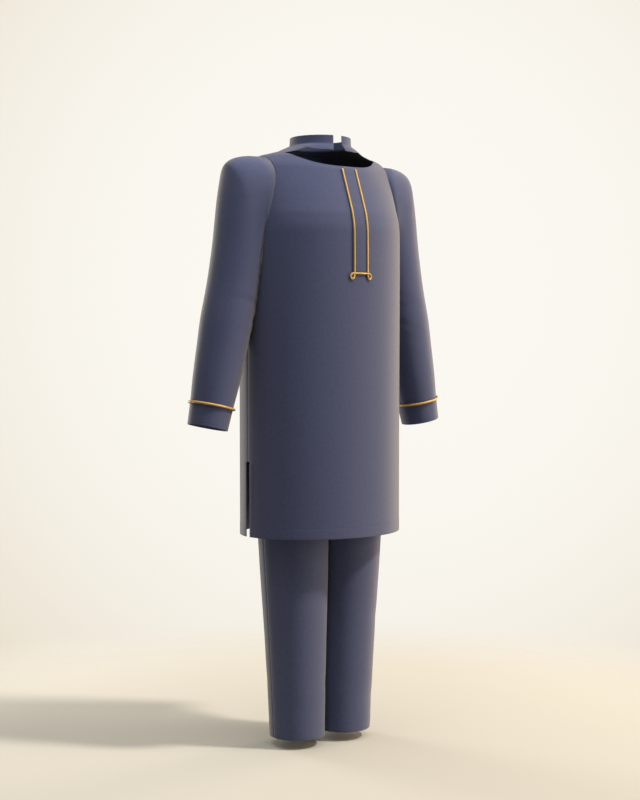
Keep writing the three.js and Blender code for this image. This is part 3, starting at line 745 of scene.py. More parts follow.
# %% Tunic panels
SLIT_SHARE = SIDE_SHARE * (SLIT_TOP - HEM) / (UNDERARM - HEM)
SLIT_STEP, SLIT_FADE = 0.0005, 0.004
SLIT_HEM = 0.6                  # the hem is this much thinner where it meets the slit's edge
QUIET_EDGE = 40                 # ripples die away this close to a side edge
RIPPLE_SEEDS = {-1: 1.3, 1: 4.0}
EDGE_LINES = (0.0012, 0.004)    # extra grid lines this share of the way in from an edge
SLIT_LINES = (0.0305, 0.0355, 0.0405, 0.05)     # and where the slit's stitches are
LOW_ROWS, MIDDLE_ROWS, HIGH_ROWS = 34, 66, 92
HEM_SPREAD = 1.5                # rows this far from the hem's stitches and its turn


def panel_columns(stops):
    """Columns on both sides of the centre, each stop being (share, count)."""
    half, last = [np.zeros(1)], 0.0
    for stop, count in stops:
        half.append(np.linspace(last, stop, count + 1)[1:])
        last = stop
    half = np.sort(np.concatenate([*half, 1 - np.array(EDGE_LINES + SLIT_LINES)]))
    return np.concatenate([-half[:0:-1], half])


def panel_rows():
    """Rows from the hem to the slit's top, on to the underarm, and up round the armhole."""
    low = np.linspace(0, SLIT_SHARE - SLIT_STEP, LOW_ROWS)
    middle = np.linspace(SLIT_SHARE + SLIT_STEP, SIDE_SHARE, MIDDLE_ROWS)
    high = np.linspace(SIDE_SHARE, 1, HIGH_ROWS)[1:]
    lines = np.array(EDGE_LINES)
    hem = np.array([HEM_STITCH - HEM_SPREAD, HEM_STITCH, HEM_STITCH + HEM_SPREAD,
                    HEM_TURN + HEM_SPREAD])
    hem_share = SIDE_SHARE * hem / (UNDERARM - HEM)
    return np.sort(np.concatenate([low, middle, high, lines, 1 - lines, hem_share]))


def tunic_panel(facing, columns):
    """Points and normals of a panel, with its relief."""
    u, v = np.meshgrid(columns, panel_rows())
    angle, level = panel_place(u, v, facing)
    plain, normal = body_point(angle, level), body_normal(angle, level)
    across, up = arc(plain, 1), arc(plain, 0)
    to_side = np.minimum(across, across[:, -1:] - across)
    from_centre = across - across[:, -1:] / 2
    open_slit = ease((SLIT_SHARE - v) / SLIT_FADE)
    sewn = dip(to_side, *SEAM_DIP) * (1 - open_slit)
    slit = turned_edge(to_side, SLIT_TURN, SLIT_STITCH) * open_slit
    thinner = SLIT_HEM * open_slit * (to_side < SLIT_TURN)
    hem = turned_edge(up, HEM_TURN, HEM_STITCH) * (1 - thinner)
    to_top = up[-1:] - up
    sewn_top = (np.abs(u) > SHOULDER_SHARE) | (facing > 0)
    top = np.where(sewn_top, dip(to_top, *SHOULDER_DIP), dip(to_top - NECK_STITCH, *NECK_DIP))
    drape = hanging_ripple(from_centre, plain[..., 2], RIPPLE_SEEDS[facing])
    quiet = ease(to_side / QUIET_EDGE)
    relief = sewn + slit + hem + top + drape * quiet
    return plain + normal * relief[..., None], normal


front_columns = panel_columns([(SHOULDER_SHARE, 50), (1, 11)])
front_grid, front_normal = tunic_panel(-1, front_columns)
front_cloth = cloth_piece("front", front_grid, front_normal)

back_columns = panel_columns([(BACK_NECK_SHARE, 44), (BACK_SEAM_SHARE, 9), (1, 10)])
back_grid, back_normal = tunic_panel(1, back_columns)
back_cloth = cloth_piece("back", back_grid, back_normal)

# %% [markdown]
# ## Collar
# A standing band of two layers with interfacing between, so it is stiff, keeps its shape and has
# crisp edges. It is sewn to the neck round the back. In front it is free, its lower edge flares
# over the collar bones, and its two ends stand apart.

# %% Collar
COLLAR_COLUMNS, COLLAR_LEVELS = 150, 20
COLLAR_STITCH = 3.5
COLLAR_DIP = (0.22, 1.2)


def collar_grid():
    """Angle from one front end round the back to the other, and height from seam to top."""
    gap = math.asin(COLLAR_GAP / 2 / BODY["side"][-1])
    ends = np.array([0, 0.004, 0.012])
    share = np.concatenate([ends, np.linspace(0.02, 0.98, COLLAR_COLUMNS), 1 - ends[::-1]])
    angle = mix(gap, 2 * np.pi - gap, share)
    t = np.concatenate([[0, 0.03, 0.08], np.linspace(0.14, 0.9, COLLAR_LEVELS), [0.95, 0.98, 1]])
    edge = collar_edge(np.minimum(angle, 2 * np.pi - angle))[1]
    low = level_at(BODY, smooth(BODY, "z", edge) - COLLAR_OVERLAP)
    angle, t = np.meshgrid(angle, t)
    level = mix(low[None, :], BODY_TOP, t)
    point, normal = body_point(angle, level), body_normal(angle, level)
    up = arc(point, 0)
    to_top = up[-1:] - up
    relief = dip(to_top - COLLAR_STITCH, *COLLAR_DIP) + dip(up - COLLAR_STITCH, *COLLAR_DIP)
    return point + normal * relief[..., None], normal


band_grid, band_normal = collar_grid()
collar_cloth = cloth_piece("collar", band_grid, band_normal, roll=BAND_ROLL)

# %% [markdown]
# ## Sleeves and cuffs
# A set-in sleeve is a tube whose top is cut to a cap. Its centre line and width come from a size
# chart again. At the armhole it starts on the tunic's surface, and it rounds over to the tube
# within a short drop on the outer side and a long one elsewhere, which is what gives the shoulder
# its square crown. Lower down it hangs against the side of the tunic, so it is kept clear of it.

# %% Sleeve surface
SLEEVE = table("z x radius", [
    (-20, 200, 66), (-137, 221, 67), (-255, 236, 66.5), (-352, 254.5, 64.5), (-425, 271, 64),
    (-498, 286, 61), (-571, 301, 57.6), (-637, 315, 52.2), (-686, 325.6, 49.4)])
SLEEVE_Y, CUFF_SEAM, CUFF_END = 5, -633.5, -686
CROWN_DROP, CAP_DROP, CAP_SQUARE, CROWN_SPREAD = 34, 120, 2.5, 0.4
SIDE_CLEARANCE, SEAM_STANDOFF = 3.5, 0.5


def tube_point(turn, height):
    """A leaning ring: turn 0 is the outer side and a quarter is the front."""
    level = level_at(SLEEVE, height)
    step = 0.01
    reach = smooth(SLEEVE, "x", level + step) - smooth(SLEEVE, "x", level - step)
    fall = smooth(SLEEVE, "z", level - step) - smooth(SLEEVE, "z", level + step)
    lean = np.arctan2(reach, fall)
    radius = smooth(SLEEVE, "radius", level)
    out = radius * np.cos(turn)
    return np.stack([smooth(SLEEVE, "x", level) + out * np.cos(lean),
                     SLEEVE_Y - radius * np.sin(turn), height + out * np.sin(lean)], axis=-1)


def clear_of_body(point, clearance):
    """Pushes a point straight away from the body axis until it clears the tunic."""
    level = level_at(BODY, point[..., 2])
    depth = section_depth(BODY, point[..., 1] < 0, level)
    angle = np.arctan2(point[..., 0] / smooth(BODY, "side", level), -point[..., 1] / depth)
    far = np.linalg.norm(body_point(angle, level)[..., :2], axis=-1) + clearance
    near = np.linalg.norm(point[..., :2], axis=-1)
    push = np.where(point[..., 2] > HEM, np.maximum(far / near, 1), 1)
    return point * np.stack([push, push, np.ones_like(push)], axis=-1)


def sleeve_point(turn, share):
    """From the armhole at share 0 to the cuff seam at 1, rounding over from seam to tube."""
    place = armhole_at(turn)
    start = body_point(*place) + SEAM_STANDOFF * body_normal(*place)
    top = 2 * start[..., 2] - tube_point(turn, start[..., 2])[..., 2]
    height = mix(top, CUFF_SEAM, share)
    drop = mix(CAP_DROP, CROWN_DROP, np.maximum(np.cos(turn), 0) ** CROWN_SPREAD)
    fallen = np.clip((top - height) / drop, 0, 1)
    left = 1 - (1 - (1 - fallen) ** CAP_SQUARE) ** (1 / CAP_SQUARE)
    point = tube_point(turn, height) + (start - tube_point(turn, top)) * left[..., None]
    return clear_of_body(point, mix(SEAM_STANDOFF, SIDE_CLEARANCE, ease(fallen)))


def surface_normal(surface, u, v, inside):
    """The way out of any surface, by small steps, turned away from a point inside it."""
    step = 0.0015
    low, high = v.min(), v.max()
    across = surface(u + step, v) - surface(u - step, v)
    along = surface(u, np.minimum(v + step, high)) - surface(u, np.maximum(v - step, low))
    normal = unit(np.cross(across, along))
    outward = surface(u, v) - inside
    return normal * np.sign((normal * outward).sum(-1, keepdims=True))


# %% Sleeve relief
ELBOW_CREASES = table("height turn depth lean", [
    (-352, 2.5, 1.1, 18), (-386, 2.1, 1.5, -14), (-421, 2.7, 1.3, 20), (-462, 2.2, 0.9, -12),
    (-120, 1.9, 0.8, 26), (-300, 4.3, 0.9, -20), (-405, 4.0, 1.1, 16)])
CREASE_WIDTH, CREASE_REACH = 11, 0.75           # millimetres up the arm, radians round it
FOLD_SHARE, FOLD_ABOVE = 0.45, 16               # the soft fold that stands above each trough
FOLD_WIDTH, FOLD_REACH = 12, 0.8
ARM_RADIUS = 60                 # turns an angle round the arm into millimetres
ARM_SEAM_DIP, ARMHOLE_DIP = (0.6, 3.5), (0.5, 3)
QUIET_CAP = 60                  # creases die away this close to the armhole
EASE_RIPPLES = 26               # small ripples where the fuller cap is eased into the armhole
EASE_DEPTH, EASE_REACH = 0.3, 11


def angle_between(turn, other):
    """The signed angle from one turn to another, never more than half round."""
    return np.angle(np.exp(1j * (turn - other)))


def sleeve_relief(turn, point, from_top):
    """Soft troughs inside the elbow and under the cap, the seams, and the eased cap."""
    height = point[..., 2]
    relief = np.zeros_like(height)
    for crease in rows_of(ELBOW_CREASES):
        apart = angle_between(turn, crease["turn"])
        line = height - crease["height"] - crease["lean"] * apart
        relief += dip(line, crease["depth"], CREASE_WIDTH) * np.exp(-(apart / CREASE_REACH) ** 2)
        fold = ((line - FOLD_ABOVE) / FOLD_WIDTH) ** 2
        relief += FOLD_SHARE * crease["depth"] * np.exp(-fold - (apart / FOLD_REACH) ** 2)
    under = np.abs(angle_between(turn, np.pi)) * ARM_RADIUS
    seam = dip(under, *ARM_SEAM_DIP) + dip(from_top, *ARMHOLE_DIP)
    crown = np.maximum(np.cos(turn / 2), 0) ** 2
    eased = EASE_DEPTH * crown * np.exp(-from_top / EASE_REACH) * np.sin(EASE_RIPPLES * turn)
    return relief * ease(from_top / QUIET_CAP) + seam + eased


def mirrored(grid):
    """The same piece for the wearer's other side."""
    return grid * np.array([-1, 1, 1])


BOTH_SIDES = (("left", np.array), ("right", mirrored))


def cloth_pair(part, grid, normal, **edges):
    """The left piece and its mirror image, by side."""
    return {word: cloth_piece(f"{part}_{word}", turned(grid), turned(normal), **edges)
            for word, turned in BOTH_SIDES}


# %% Make both sleeves
SLEEVE_TURNS, CAP_ROWS, ARM_ROWS = 96, 46, 84
CAP_END = 0.3                   # share of the sleeve's length that the close rows cover
AXIS_INSET, AXIS_BELOW = 20, 30     # from the centre line to a point well inside the sleeve


def sleeve_grid():
    """Rings close together at the cap, where the cloth rounds over, and wider down the arm."""
    turn = full_turn(SLEEVE_TURNS)
    share = np.concatenate([[0, 0.002, 0.006], np.linspace(0.012, CAP_END, CAP_ROWS),
                            np.linspace(CAP_END, 0.995, ARM_ROWS)[1:], [0.998, 1]])
    u, v = np.meshgrid(turn, share)
    plain = sleeve_point(u, v)
    level = level_at(SLEEVE, plain[..., 2])
    inside = np.stack([smooth(SLEEVE, "x", level) - AXIS_INSET,
                       np.full(u.shape, float(SLEEVE_Y)), plain[..., 2] - AXIS_BELOW], axis=-1)
    normal = surface_normal(sleeve_point, u, v, inside)
    relief = sleeve_relief(u, plain, arc(plain, 0))
    return plain + normal * relief[..., None], normal


arm_grid, arm_normal = sleeve_grid()
sleeves = cloth_pair("sleeve", arm_grid, arm_normal, closed=True)

# %% [markdown]
# ## Cuffs
# A plain band of double cloth, a little narrower than the sleeve, turned under at its open end.

# %% Make both cuffs
CUFF_STITCH, CUFF_ROWS = 6, 10
CUFF_DIP = (0.3, 1.3)


def cuff_grid():
    """The sleeve's own ring carried on from the cuff seam to the wrist."""
    turn = full_turn(SLEEVE_TURNS)
    share = np.concatenate([[0, 0.015, 0.05], np.linspace(0.1, 0.8, CUFF_ROWS),
                            [0.84, 0.86, 0.88, 0.9, 0.94, 0.985, 1]])
    u, v = np.meshgrid(turn, mix(CUFF_SEAM - SEAM, CUFF_END, share))
    point = tube_point(u, v)
    inside = np.stack([point[..., 0] - np.cos(u), point[..., 1] + np.sin(u), point[..., 2]],
                      axis=-1)
    normal = surface_normal(tube_point, u, v, inside)
    up = arc(point, 0)
    relief = dip(up, *SEAM_DIP) + dip(up[-1:] - up - CUFF_STITCH, *CUFF_DIP)
    return point + normal * relief[..., None], normal


wrist_grid, wrist_normal = cuff_grid()
cuffs = cloth_pair("cuff", wrist_grid, wrist_normal, closed=True, roll=BAND_ROLL)

# %% [markdown]
# ## Placket
# The strip that finishes the front opening lies on the chest between two cords. It is thin and
# flat, and follows the chest from the neckline to the bar at its foot.

# %% Placket strip
PLACKET_END, PLACKET_HALF, NECK_EDGE_ROOM, CORD_START = -313.7, 19.4, 3, 7
PLACKET_WALL, PLACKET_LIFT, CORD_RADIUS = 1.0, 0.5, 2.5
CORD_LIFT = SEAM + CORD_RADIUS
STRIP_COLUMNS, STRIP_ROWS, STRIP_ROLL = 22, 150, 0.25


def on_front(x, z):
    """Point and normal on the chest at distance x from the centre line, by correction."""
    level = level_at(BODY, z)
    angle = np.zeros(np.broadcast(x, z).shape)
    for _ in range(CORRECTIONS):
        angle = angle + (x - body_point(angle, level)[..., 0]) / smooth(BODY, "side", level)
    return body_point(angle, level), body_normal(angle, level)


def placket_grid():
    """A strip of the chest's own surface, moved out to lie on it."""
    half = PLACKET_HALF - CORD_RADIUS - SEAM
    x, z = np.meshgrid(np.linspace(-half, half, STRIP_COLUMNS),
                       np.linspace(PLACKET_END + CORD_RADIUS + SEAM,
                                   NECK_FRONT - NECK_EDGE_ROOM, STRIP_ROWS))
    point, normal = on_front(x, z)
    return point + normal * (PLACKET_LIFT + PLACKET_WALL), normal


strip_grid, strip_normal = placket_grid()
placket_cloth = cloth_piece("placket", strip_grid, strip_normal, wall=PLACKET_WALL,
                            roll=STRIP_ROLL)

# %% [markdown]
# ## Twisted cord
# A laid cord of three strands has a section with three round lobes, and the section turns as it
# goes along. So a cord is that section carried along a path: the radius depends on the angle
# round the cord minus the turns it has made. The ends close to a point, as a cord's sewn-down end
# does.

# %% Cord surface
STRANDS = 3
LAY_LENGTH = 13                 # millimetres along the cord for one full turn of a strand
CORD_SIDES, CORD_STEPS = 30, 420
VALLEY = 0.74                   # share of the radius that is left between two strands
CROWN_POWER = 0.7               # the smaller, the blunter a strand's crown
TIP_SHARE = 0.0004              # keeps the very end from having no width


def cord_piece(node, path, outward, radius, closed=False):
    """Section of three lobes along a path; strand is 1 on a crown and 0 between lobes, for painted
    shade.
    """
    joined = np.concatenate([path[-1:], path, path[:1]]) if closed else path
    tangent = unit(np.gradient(joined, axis=0)[1:-1] if closed else np.gradient(path, axis=0))
    side = unit(np.cross(tangent, outward))
    out = np.cross(side, tangent)
    run = arc(path, 0)
    length = run[-1] + (np.linalg.norm(path[0] - path[-1]) if closed else 0)
    turns = max(round(length / LAY_LENGTH), 1) if closed else length / LAY_LENGTH
    round_angle = full_turn(CORD_SIDES)
    phase = STRANDS * (round_angle[None, :] - 2 * np.pi * turns * (run / length)[:, None])
    crown = np.abs(np.cos(phase / 2)) ** CROWN_POWER
    width = radius * (VALLEY + (1 - VALLEY) * crown)
    if not closed:
        to_end = np.minimum(run, length - run)[:, None]
        left = 1 - np.clip(to_end / radius, 0, 1)
        width = width * np.sqrt(np.clip(1 - left ** 2, TIP_SHARE, 1))
    circle = (np.cos(round_angle)[None, :, None] * side[:, None]
              + np.sin(round_angle)[None, :, None] * out[:, None])
    points = path[:, None] + width[..., None] * circle
    cord = lobed_mesh(f"{node}_twist", points, crown, run, length, closed)
    dress(cord, node)
    return cord


def lobed_mesh(name, points, crown, run, length, closed):
    """Quads round and along the cord; an open end closes in a fan on one middle point."""
    high, wide = points.shape[:2]
    rows, columns = corner_ids(high if closed else high - 1, wide)
    along = np.append(run, length)
    girth = 2 * np.pi * CORD_RADIUS / wide
    faces = [(rows % high) * wide + columns % wide]
    marks = [np.stack([columns * girth, along[rows]], axis=-1)]
    vertices, strand, middle = points.reshape(-1, 3), crown.ravel(), points.mean(axis=1)
    if not closed:
        vertices = np.concatenate([vertices, middle[[0, -1]]])
        # the two end points take strand 0, the painted shade's darkest gold
        strand = np.append(strand, [0, 0])
        turn = np.arange(wide)
        for pole, row in enumerate((0, high - 1)):
            ring = np.stack([turn, turn + 1] if row else [turn + 1, turn], axis=-1)
            tip = np.full((wide, 1), high * wide + pole)
            faces.append(np.concatenate([row * wide + ring % wide, tip], axis=1))
            place = np.concatenate([ring, ring[:, 1:]], axis=1) * girth
            marks.append(np.stack([place, np.full(place.shape, along[row])], axis=-1))
    way = np.cross(points[0, 1] - points[0, 0], points[1, 0] - points[0, 0])
    if way @ (points[0, 0] - middle[0]) < 0:
        faces, marks = [face[:, ::-1] for face in faces], [mark[:, ::-1] for mark in marks]
    faces = sum((face.tolist() for face in faces), [])
    pattern = np.concatenate([mark.reshape(-1, 2) for mark in marks])
    return make_object(name, vertices, faces, pattern, gold_cord, strand)


def placket_path(side):
    """Down the chest beside the strip, on top of the cloth, to just under the bar."""
    z = np.linspace(NECK_FRONT - CORD_START, PLACKET_END + 1, CORD_STEPS)
    point, normal = on_front(np.full(z.shape, side * PLACKET_HALF), z)
    return point + normal * CORD_LIFT, normal


for word, side in (("left", 1), ("right", -1)):
    path, outward = placket_path(side)
    cord = cord_piece(f"placket_cord_{word}", path, outward, CORD_RADIUS)
    print(f"{cord.name}: {arc(path, 0)[-1]:.0f} mm of cord")

# %% [markdown]
# ## The bar and the pipings
# The bar that closes the placket is one length of cord. Each end curls down and back up to it in
# a small loop. Its path runs through a few measured points, and a curve through them needs
# rounder turns than the size charts do, so each point's slope is half the step between its
# neighbours. The cuff pipings are closed rings round the cuff seams.

# %% Bar
CURL = [(4, 0.4), (8, 2.2), (10.4, 6), (9.6, 10.4),     # out from the placket's edge, and down
        (6.4, 13.4), (2.9, 12), (1.2, 8.2), (0.3, 2.2)]
BAR_SHARES = (-0.8, -0.3, 0.3, 0.8)
CURVE_STEPS = 24


def curve_through(points, count):
    """A cubic through the points, with count steps between neighbours."""
    points = np.asarray(points, float)
    slope = np.gradient(points, axis=0)
    t = np.linspace(0, 1, count, endpoint=False)[None, :, None]
    a, b = points[:-1, None], points[1:, None]
    reach = t * (1 - t) ** 2 * slope[:-1, None] + t * t * (t - 1) * slope[1:, None]
    curve = a + (b - a) * t * t * (3 - 2 * t) + reach
    return np.concatenate([curve.reshape(-1, points.shape[1]), points[-1:]])


right_curl = [(PLACKET_HALF + out, down) for out, down in CURL]
left_curl = [(-x, down) for x, down in right_curl[::-1]]
bar = curve_through([*left_curl, *((share * PLACKET_HALF, 0) for share in BAR_SHARES),
                     *right_curl], CURVE_STEPS)
path, outward = on_front(bar[:, 0], PLACKET_END - bar[:, 1])
cord_piece("placket_bar", path + outward * CORD_LIFT, outward, CORD_RADIUS)
print(f"placket_bar_twist: {arc(path, 0)[-1]:.0f} mm of cord")

# %% Pipings
PIPING_RADIUS = 2.9
PIPING_STEPS = 560


def piping_path():
    """A ring just outside the cuff seam, leaning with the sleeve."""
    turn = full_turn(PIPING_STEPS)
    ring = tube_point(turn, np.full(turn.shape, float(CUFF_SEAM)))
    middle = ring.mean(axis=0)
    outward = unit(ring - middle)
    return ring + outward * (SEAM + PIPING_RADIUS), outward


ring_path, ring_outward = piping_path()
for word, turned in BOTH_SIDES:
    cord_piece(f"cuff_piping_{word}", turned(ring_path), turned(ring_outward), PIPING_RADIUS,
               closed=True)
print(f"each piping: {arc(ring_path, 0)[-1]:.0f} mm of cord")

# %% [markdown]
# ## Trousers
# Straight trousers of four panels. Below the crotch each leg is a round tube made of a front and
# a back panel. Above it the two legs merge into one hip section, and the inner edges become the
# centre rise. The tunic hides that part, so it is finished plainly, with a waistband.

# %% Trouser surface
TROUSER_HEM, CROTCH, RISE_CURVE, WAIST, WAISTBAND_TOP = -1466, -735, 110, -455, -415
LEG = table("z x radius", [(TROUSER_HEM, 70.5, 69), (-1240, 75, 77), (HEM, 82.5, 88.5),
                           (CROTCH, 90, 91), (WAIST, 90, 91)])
HIP = table("z side front back", [(CROTCH, 182, 120, 136), (-640, 182, 120, 138),
                                  (-540, 172, 116, 126), (WAIST, 161, 112, 114),
                                  (WAISTBAND_TOP, 158, 111, 112)])
LEG_CLEARANCE = 1.5
TROUSER_TURN, TROUSER_STITCH = 34, 31


def trouser_point(u, z, facing):
    """u runs from the outside seam to the inside seam; leg ring and hip section are blended."""
    u = np.clip(u, 0, 1)
    leg, hip = level_at(LEG, z), level_at(HIP, z)
    merge = ease((z - CROTCH) / RISE_CURVE)
    radius = smooth(LEG, "radius", leg)
    leg_x = smooth(LEG, "x", leg) + radius * np.cos(np.pi * u)
    hip_x = smooth(HIP, "side", hip) * np.cos(np.pi * u / 2)
    depth = smooth(HIP, "front" if facing < 0 else "back", hip)
    y = mix(radius * np.sin(np.pi * u), depth * np.sin(np.pi * u / 2), merge)
    x = np.maximum(mix(leg_x, hip_x, merge), mix(LEG_CLEARANCE, SEAM / 2, merge))
    return np.stack([x, facing * np.maximum(y, SEAM / 2), z + 0 * x], axis=-1)


TROUSER_CREASES = table("z u depth lean", [
    (-1385, 0.35, 1.3, 20), (-1330, 0.7, 1.0, -24),
    (-1180, 0.25, 0.9, 26), (-1010, 0.6, 0.8, -30)])
SLACK_WIDTH, SLACK_REACH = 20, 0.22     # millimetres up the leg, share of the panel's width
PANEL_WIDTH, QUIET_SEAM = 270, 50       # creases die away this close to a seam


def trouser_relief(u, point, from_hem, facing):
    """Seams at both edges, the turned hem, and a few slack creases above the hem and knee."""
    z = point[..., 2]
    relief = np.zeros_like(z)
    for crease in rows_of(TROUSER_CREASES):
        apart = u - (crease["u"] if facing < 0 else 1 - crease["u"])
        line = z - crease["z"] - crease["lean"] * apart
        relief += dip(line, crease["depth"], SLACK_WIDTH) * np.exp(-(apart / SLACK_REACH) ** 2)
    edge = np.minimum(u, 1 - u) * PANEL_WIDTH
    hem = turned_edge(from_hem, TROUSER_TURN, TROUSER_STITCH)
    return relief * ease(edge / QUIET_SEAM) + dip(edge, *SEAM_DIP) + hem


# %% Make the four panels
PANEL_COLUMNS, HEM_ROWS, LEG_ROWS, CROTCH_ROWS, HIP_ROWS = 44, 18, 74, 24, 18


def trouser_grid(facing):
    """Rows from the hem to the waistband, close together at the crotch curve."""
    across = np.concatenate([[0, 0.004, 0.012], np.linspace(0.025, 0.975, PANEL_COLUMNS),
                             [0.988, 0.996, 1]])
    above_hem = TROUSER_HEM + TROUSER_TURN + 4
    heights = np.concatenate([
        [TROUSER_HEM, TROUSER_HEM + 1, TROUSER_HEM + 4],
        np.linspace(TROUSER_HEM + 9, above_hem, HEM_ROWS)[:-1],
        np.linspace(above_hem, CROTCH, LEG_ROWS)[:-1],
        np.linspace(CROTCH, CROTCH + RISE_CURVE, CROTCH_ROWS)[:-1],
        np.linspace(CROTCH + RISE_CURVE, WAIST - SEAM, HIP_ROWS)])
    u, z = np.meshgrid(across, heights)
    plain = trouser_point(u, z, facing)
    merge = ease((z - CROTCH) / RISE_CURVE)
    inside = np.stack([mix(smooth(LEG, "x", level_at(LEG, z)), 0, merge), 0 * z, z], axis=-1)
    normal = surface_normal(lambda a, b: trouser_point(a, b, facing), u, z, inside)
    relief = trouser_relief(u, plain, arc(plain, 0), facing)
    return plain + normal * relief[..., None], normal


trouser_panels, trouser_grids = {}, []
for facing, part in ((-1, "front"), (1, "back")):
    grid, normal = trouser_grid(facing)
    trouser_grids.append((grid, normal))
    trouser_panels[part] = cloth_pair(f"trouser_{part}", grid, normal)


# %% Waistband
WAIST_TURNS, WAIST_STITCH, WAIST_DIP = 144, 4, (0.25, 1.2)
WAIST_ROWS = np.array([0, 0.02, 0.08, 0.1, 0.13, 0.3, 0.5, 0.7, 0.87, 0.9, 0.92, 0.98, 1])


def waistband_point(turn, z):
    """The hip section at this height, all round."""
    level = level_at(HIP, z)
    along = np.cos(turn)
    depth = section_depth(HIP, along > 0, level)
    return np.stack([smooth(HIP, "side", level) * np.sin(turn), -depth * along, z + 0 * turn],
                    axis=-1)


turn, z = np.meshgrid(full_turn(WAIST_TURNS), mix(WAIST, WAISTBAND_TOP, WAIST_ROWS))
waist_grid = waistband_point(turn, z)
waist_normal = surface_normal(waistband_point, turn, z, waist_grid * np.array([0, 0, 1]))
up = arc(waist_grid, 0)
stitched = dip(up - WAIST_STITCH, *WAIST_DIP) + dip(up[-1:] - up - WAIST_STITCH, *WAIST_DIP)
waist_grid = waist_grid + waist_normal * stitched[..., None]
waistband_cloth = cloth_piece("waistband", waist_grid, waist_normal, closed=True,
                              roll=BAND_ROLL)

# %% [markdown]
# ## Stitches
# A row of machine stitches holds each turned edge, about eight to the inch, and sits in the
# groove that it pulls into the cloth. One stitch is a small capsule whose ends go down into the
# cloth. All the stitches of a piece are copies of that capsule, placed with arrays along lines
# that are read off the cloth itself, at a set distance in from its edge.

# %% Stitch rows
STITCH_PITCH, STITCH_LENGTH, STITCH_RADIUS = 3.2, 2.6, 0.25
STITCH_SIDES = 8
STATIONS = np.array([-0.85, -0.4, 0.4, 0.85])   # rings, as shares of half the length
STATION_WIDTHS = np.array([0.6, 1, 1, 0.6])
STITCH_LIFT, STITCH_SAG = 0.12, 0.3             # height of its middle, and how far its ends drop


def line_at(grid, normal, distance, axis=0, from_end=False):
    """The line on a grid at a distance in from its first or last row or column."""
    if from_end:
        grid, normal = np.flip(grid, axis), np.flip(normal, axis)
    if axis == 1:
        grid, normal = grid.transpose(1, 0, 2), normal.transpose(1, 0, 2)
    run = arc(grid, 0)
    j, i = np.clip((run < distance).sum(axis=0) - 1, 0, len(run) - 2), np.arange(run.shape[1])
    t = ((distance - run[j, i]) / (run[j + 1, i] - run[j, i]))[:, None]
    return mix(grid[j, i], grid[j + 1, i], t), mix(normal[j, i], normal[j + 1, i], t)


def along_line(values, run, at):
    """A line's points at given running lengths."""
    return np.stack([np.interp(at, run, values[:, k]) for k in range(3)], axis=-1)


def stitch_frames(line, normal):
    """Middle, direction, side and outward direction of each stitch along a line."""
    run = arc(line, 0)
    count = int(run[-1] / STITCH_PITCH)
    centre = (np.arange(count) + 0.5) * run[-1] / count
    start = along_line(line, run, centre - STITCH_LENGTH / 2)
    end = along_line(line, run, centre + STITCH_LENGTH / 2)
    way = unit(end - start)
    side = unit(np.cross(way, along_line(normal, run, centre)))
    return np.stack([(start + end) / 2, way, side, np.cross(side, way)])


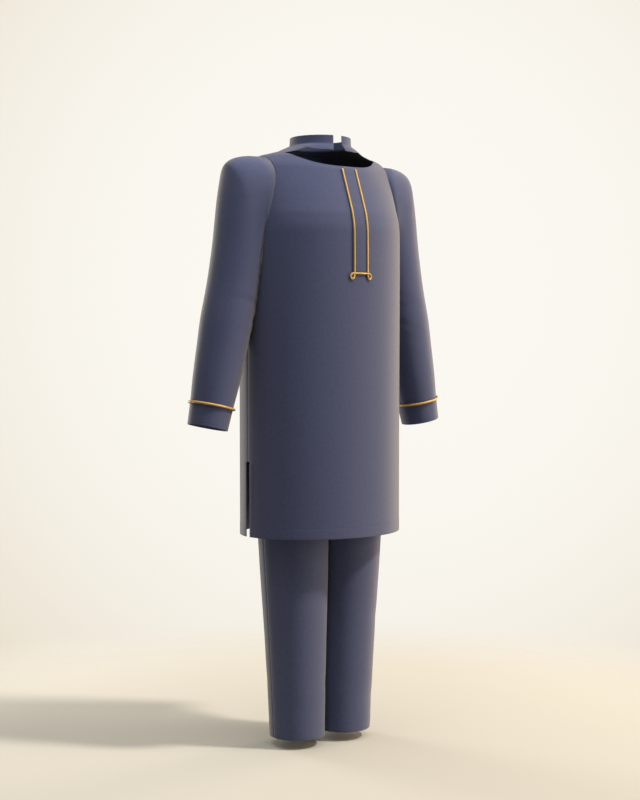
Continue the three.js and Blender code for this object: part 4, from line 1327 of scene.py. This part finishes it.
def stitch_rows(name, lines):
    """One capsule per stitch: rings at the stations, and a point at each end."""
    frames = np.concatenate([stitch_frames(*line) for line in lines], axis=1)
    middle, way, side, out = frames[:, :, None, None]
    angle = full_turn(STITCH_SIDES)
    width = STITCH_RADIUS * STATION_WIDTHS[:, None, None]
    rings = (middle + way * STATIONS[:, None, None] * STITCH_LENGTH / 2
             + out * (STITCH_LIFT - STITCH_SAG * STATIONS[:, None, None] ** 2)
             + width * (np.cos(angle)[:, None] * side + np.sin(angle)[:, None] * out))
    tips = (middle[:, :, 0] + way[:, :, 0] * np.array([[-1], [1]]) * STITCH_LENGTH / 2
            + out[:, :, 0] * (STITCH_LIFT - STITCH_SAG))
    count = rings.shape[0]
    points = np.concatenate([rings.reshape(count, -1, 3), tips], axis=1)
    cells = corner_ids(len(STATIONS) - 1, STITCH_SIDES)
    rows, columns = (corners[:, [0, 3, 2, 1]] for corners in cells)
    quads = rows * STITCH_SIDES + columns % STITCH_SIDES
    a, last = np.arange(STITCH_SIDES), (len(STATIONS) - 1) * STITCH_SIDES
    after, tip = (a + 1) % STITCH_SIDES, np.full(STITCH_SIDES, len(STATIONS) * STITCH_SIDES)
    fans = np.concatenate([np.stack([a, after, tip], axis=-1),
                           np.stack([last + after, last + a, tip + 1], axis=-1)])
    girth = 2 * np.pi * STITCH_RADIUS / STITCH_SIDES
    quad_marks = np.stack([columns * girth, STATIONS[rows] * STITCH_LENGTH / 2], axis=-1)
    fan_marks = np.zeros((*fans.shape, 2))
    offset = np.arange(count)[:, None, None] * points.shape[1]
    faces = [*(quads + offset).reshape(-1, 4).tolist(),
             *(fans + offset).reshape(-1, 3).tolist()]
    marks = [np.broadcast_to(mark, (count, *mark.shape)).reshape(-1, 2)
             for mark in (quad_marks, fan_marks)]
    row = make_object(name, points.reshape(-1, 3), faces, np.concatenate(marks), navy_thread)
    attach(row, "root")
    print(f"{name}: {count} stitches, {len(faces)} faces")


# %% Place the rows
def closed_line(line, normal):
    """A ring's line, with its first point again at the end."""
    return np.concatenate([line, line[:1]]), np.concatenate([normal, normal[:1]])


def part_of(line, normal, keep):
    """The stretch of a line that is kept."""
    return line[keep], normal[keep]


def slit_rows(grid, normal):
    """The two side edges of a panel, from its hem to the top of the slit."""
    for from_end in (False, True):
        line, way = line_at(grid, normal, SLIT_STITCH, axis=1, from_end=from_end)
        yield part_of(line, way, line[:, 2] < SLIT_TOP)


neck_line = part_of(*line_at(front_grid, front_normal, NECK_STITCH, from_end=True),
                    np.abs(front_columns) < SHOULDER_SHARE)
stitch_rows("front_stitches", [line_at(front_grid, front_normal, HEM_STITCH), neck_line,
                               *slit_rows(front_grid, front_normal)])
stitch_rows("back_stitches", [line_at(back_grid, back_normal, HEM_STITCH),
                              *slit_rows(back_grid, back_normal)])
stitch_rows("collar_stitches", [line_at(band_grid, band_normal, COLLAR_STITCH),
                                line_at(band_grid, band_normal, COLLAR_STITCH, from_end=True)])
for word, turned in BOTH_SIDES:
    cuff_line = closed_line(*line_at(wrist_grid, wrist_normal, CUFF_STITCH, from_end=True))
    stitch_rows(f"cuff_{word}_stitches", [(turned(cuff_line[0]), turned(cuff_line[1]))])
    hem_lines = [line_at(grid, normal, TROUSER_STITCH) for grid, normal in trouser_grids]
    stitch_rows(f"trouser_{word}_stitches",
                [(turned(line), turned(normal)) for line, normal in hem_lines])
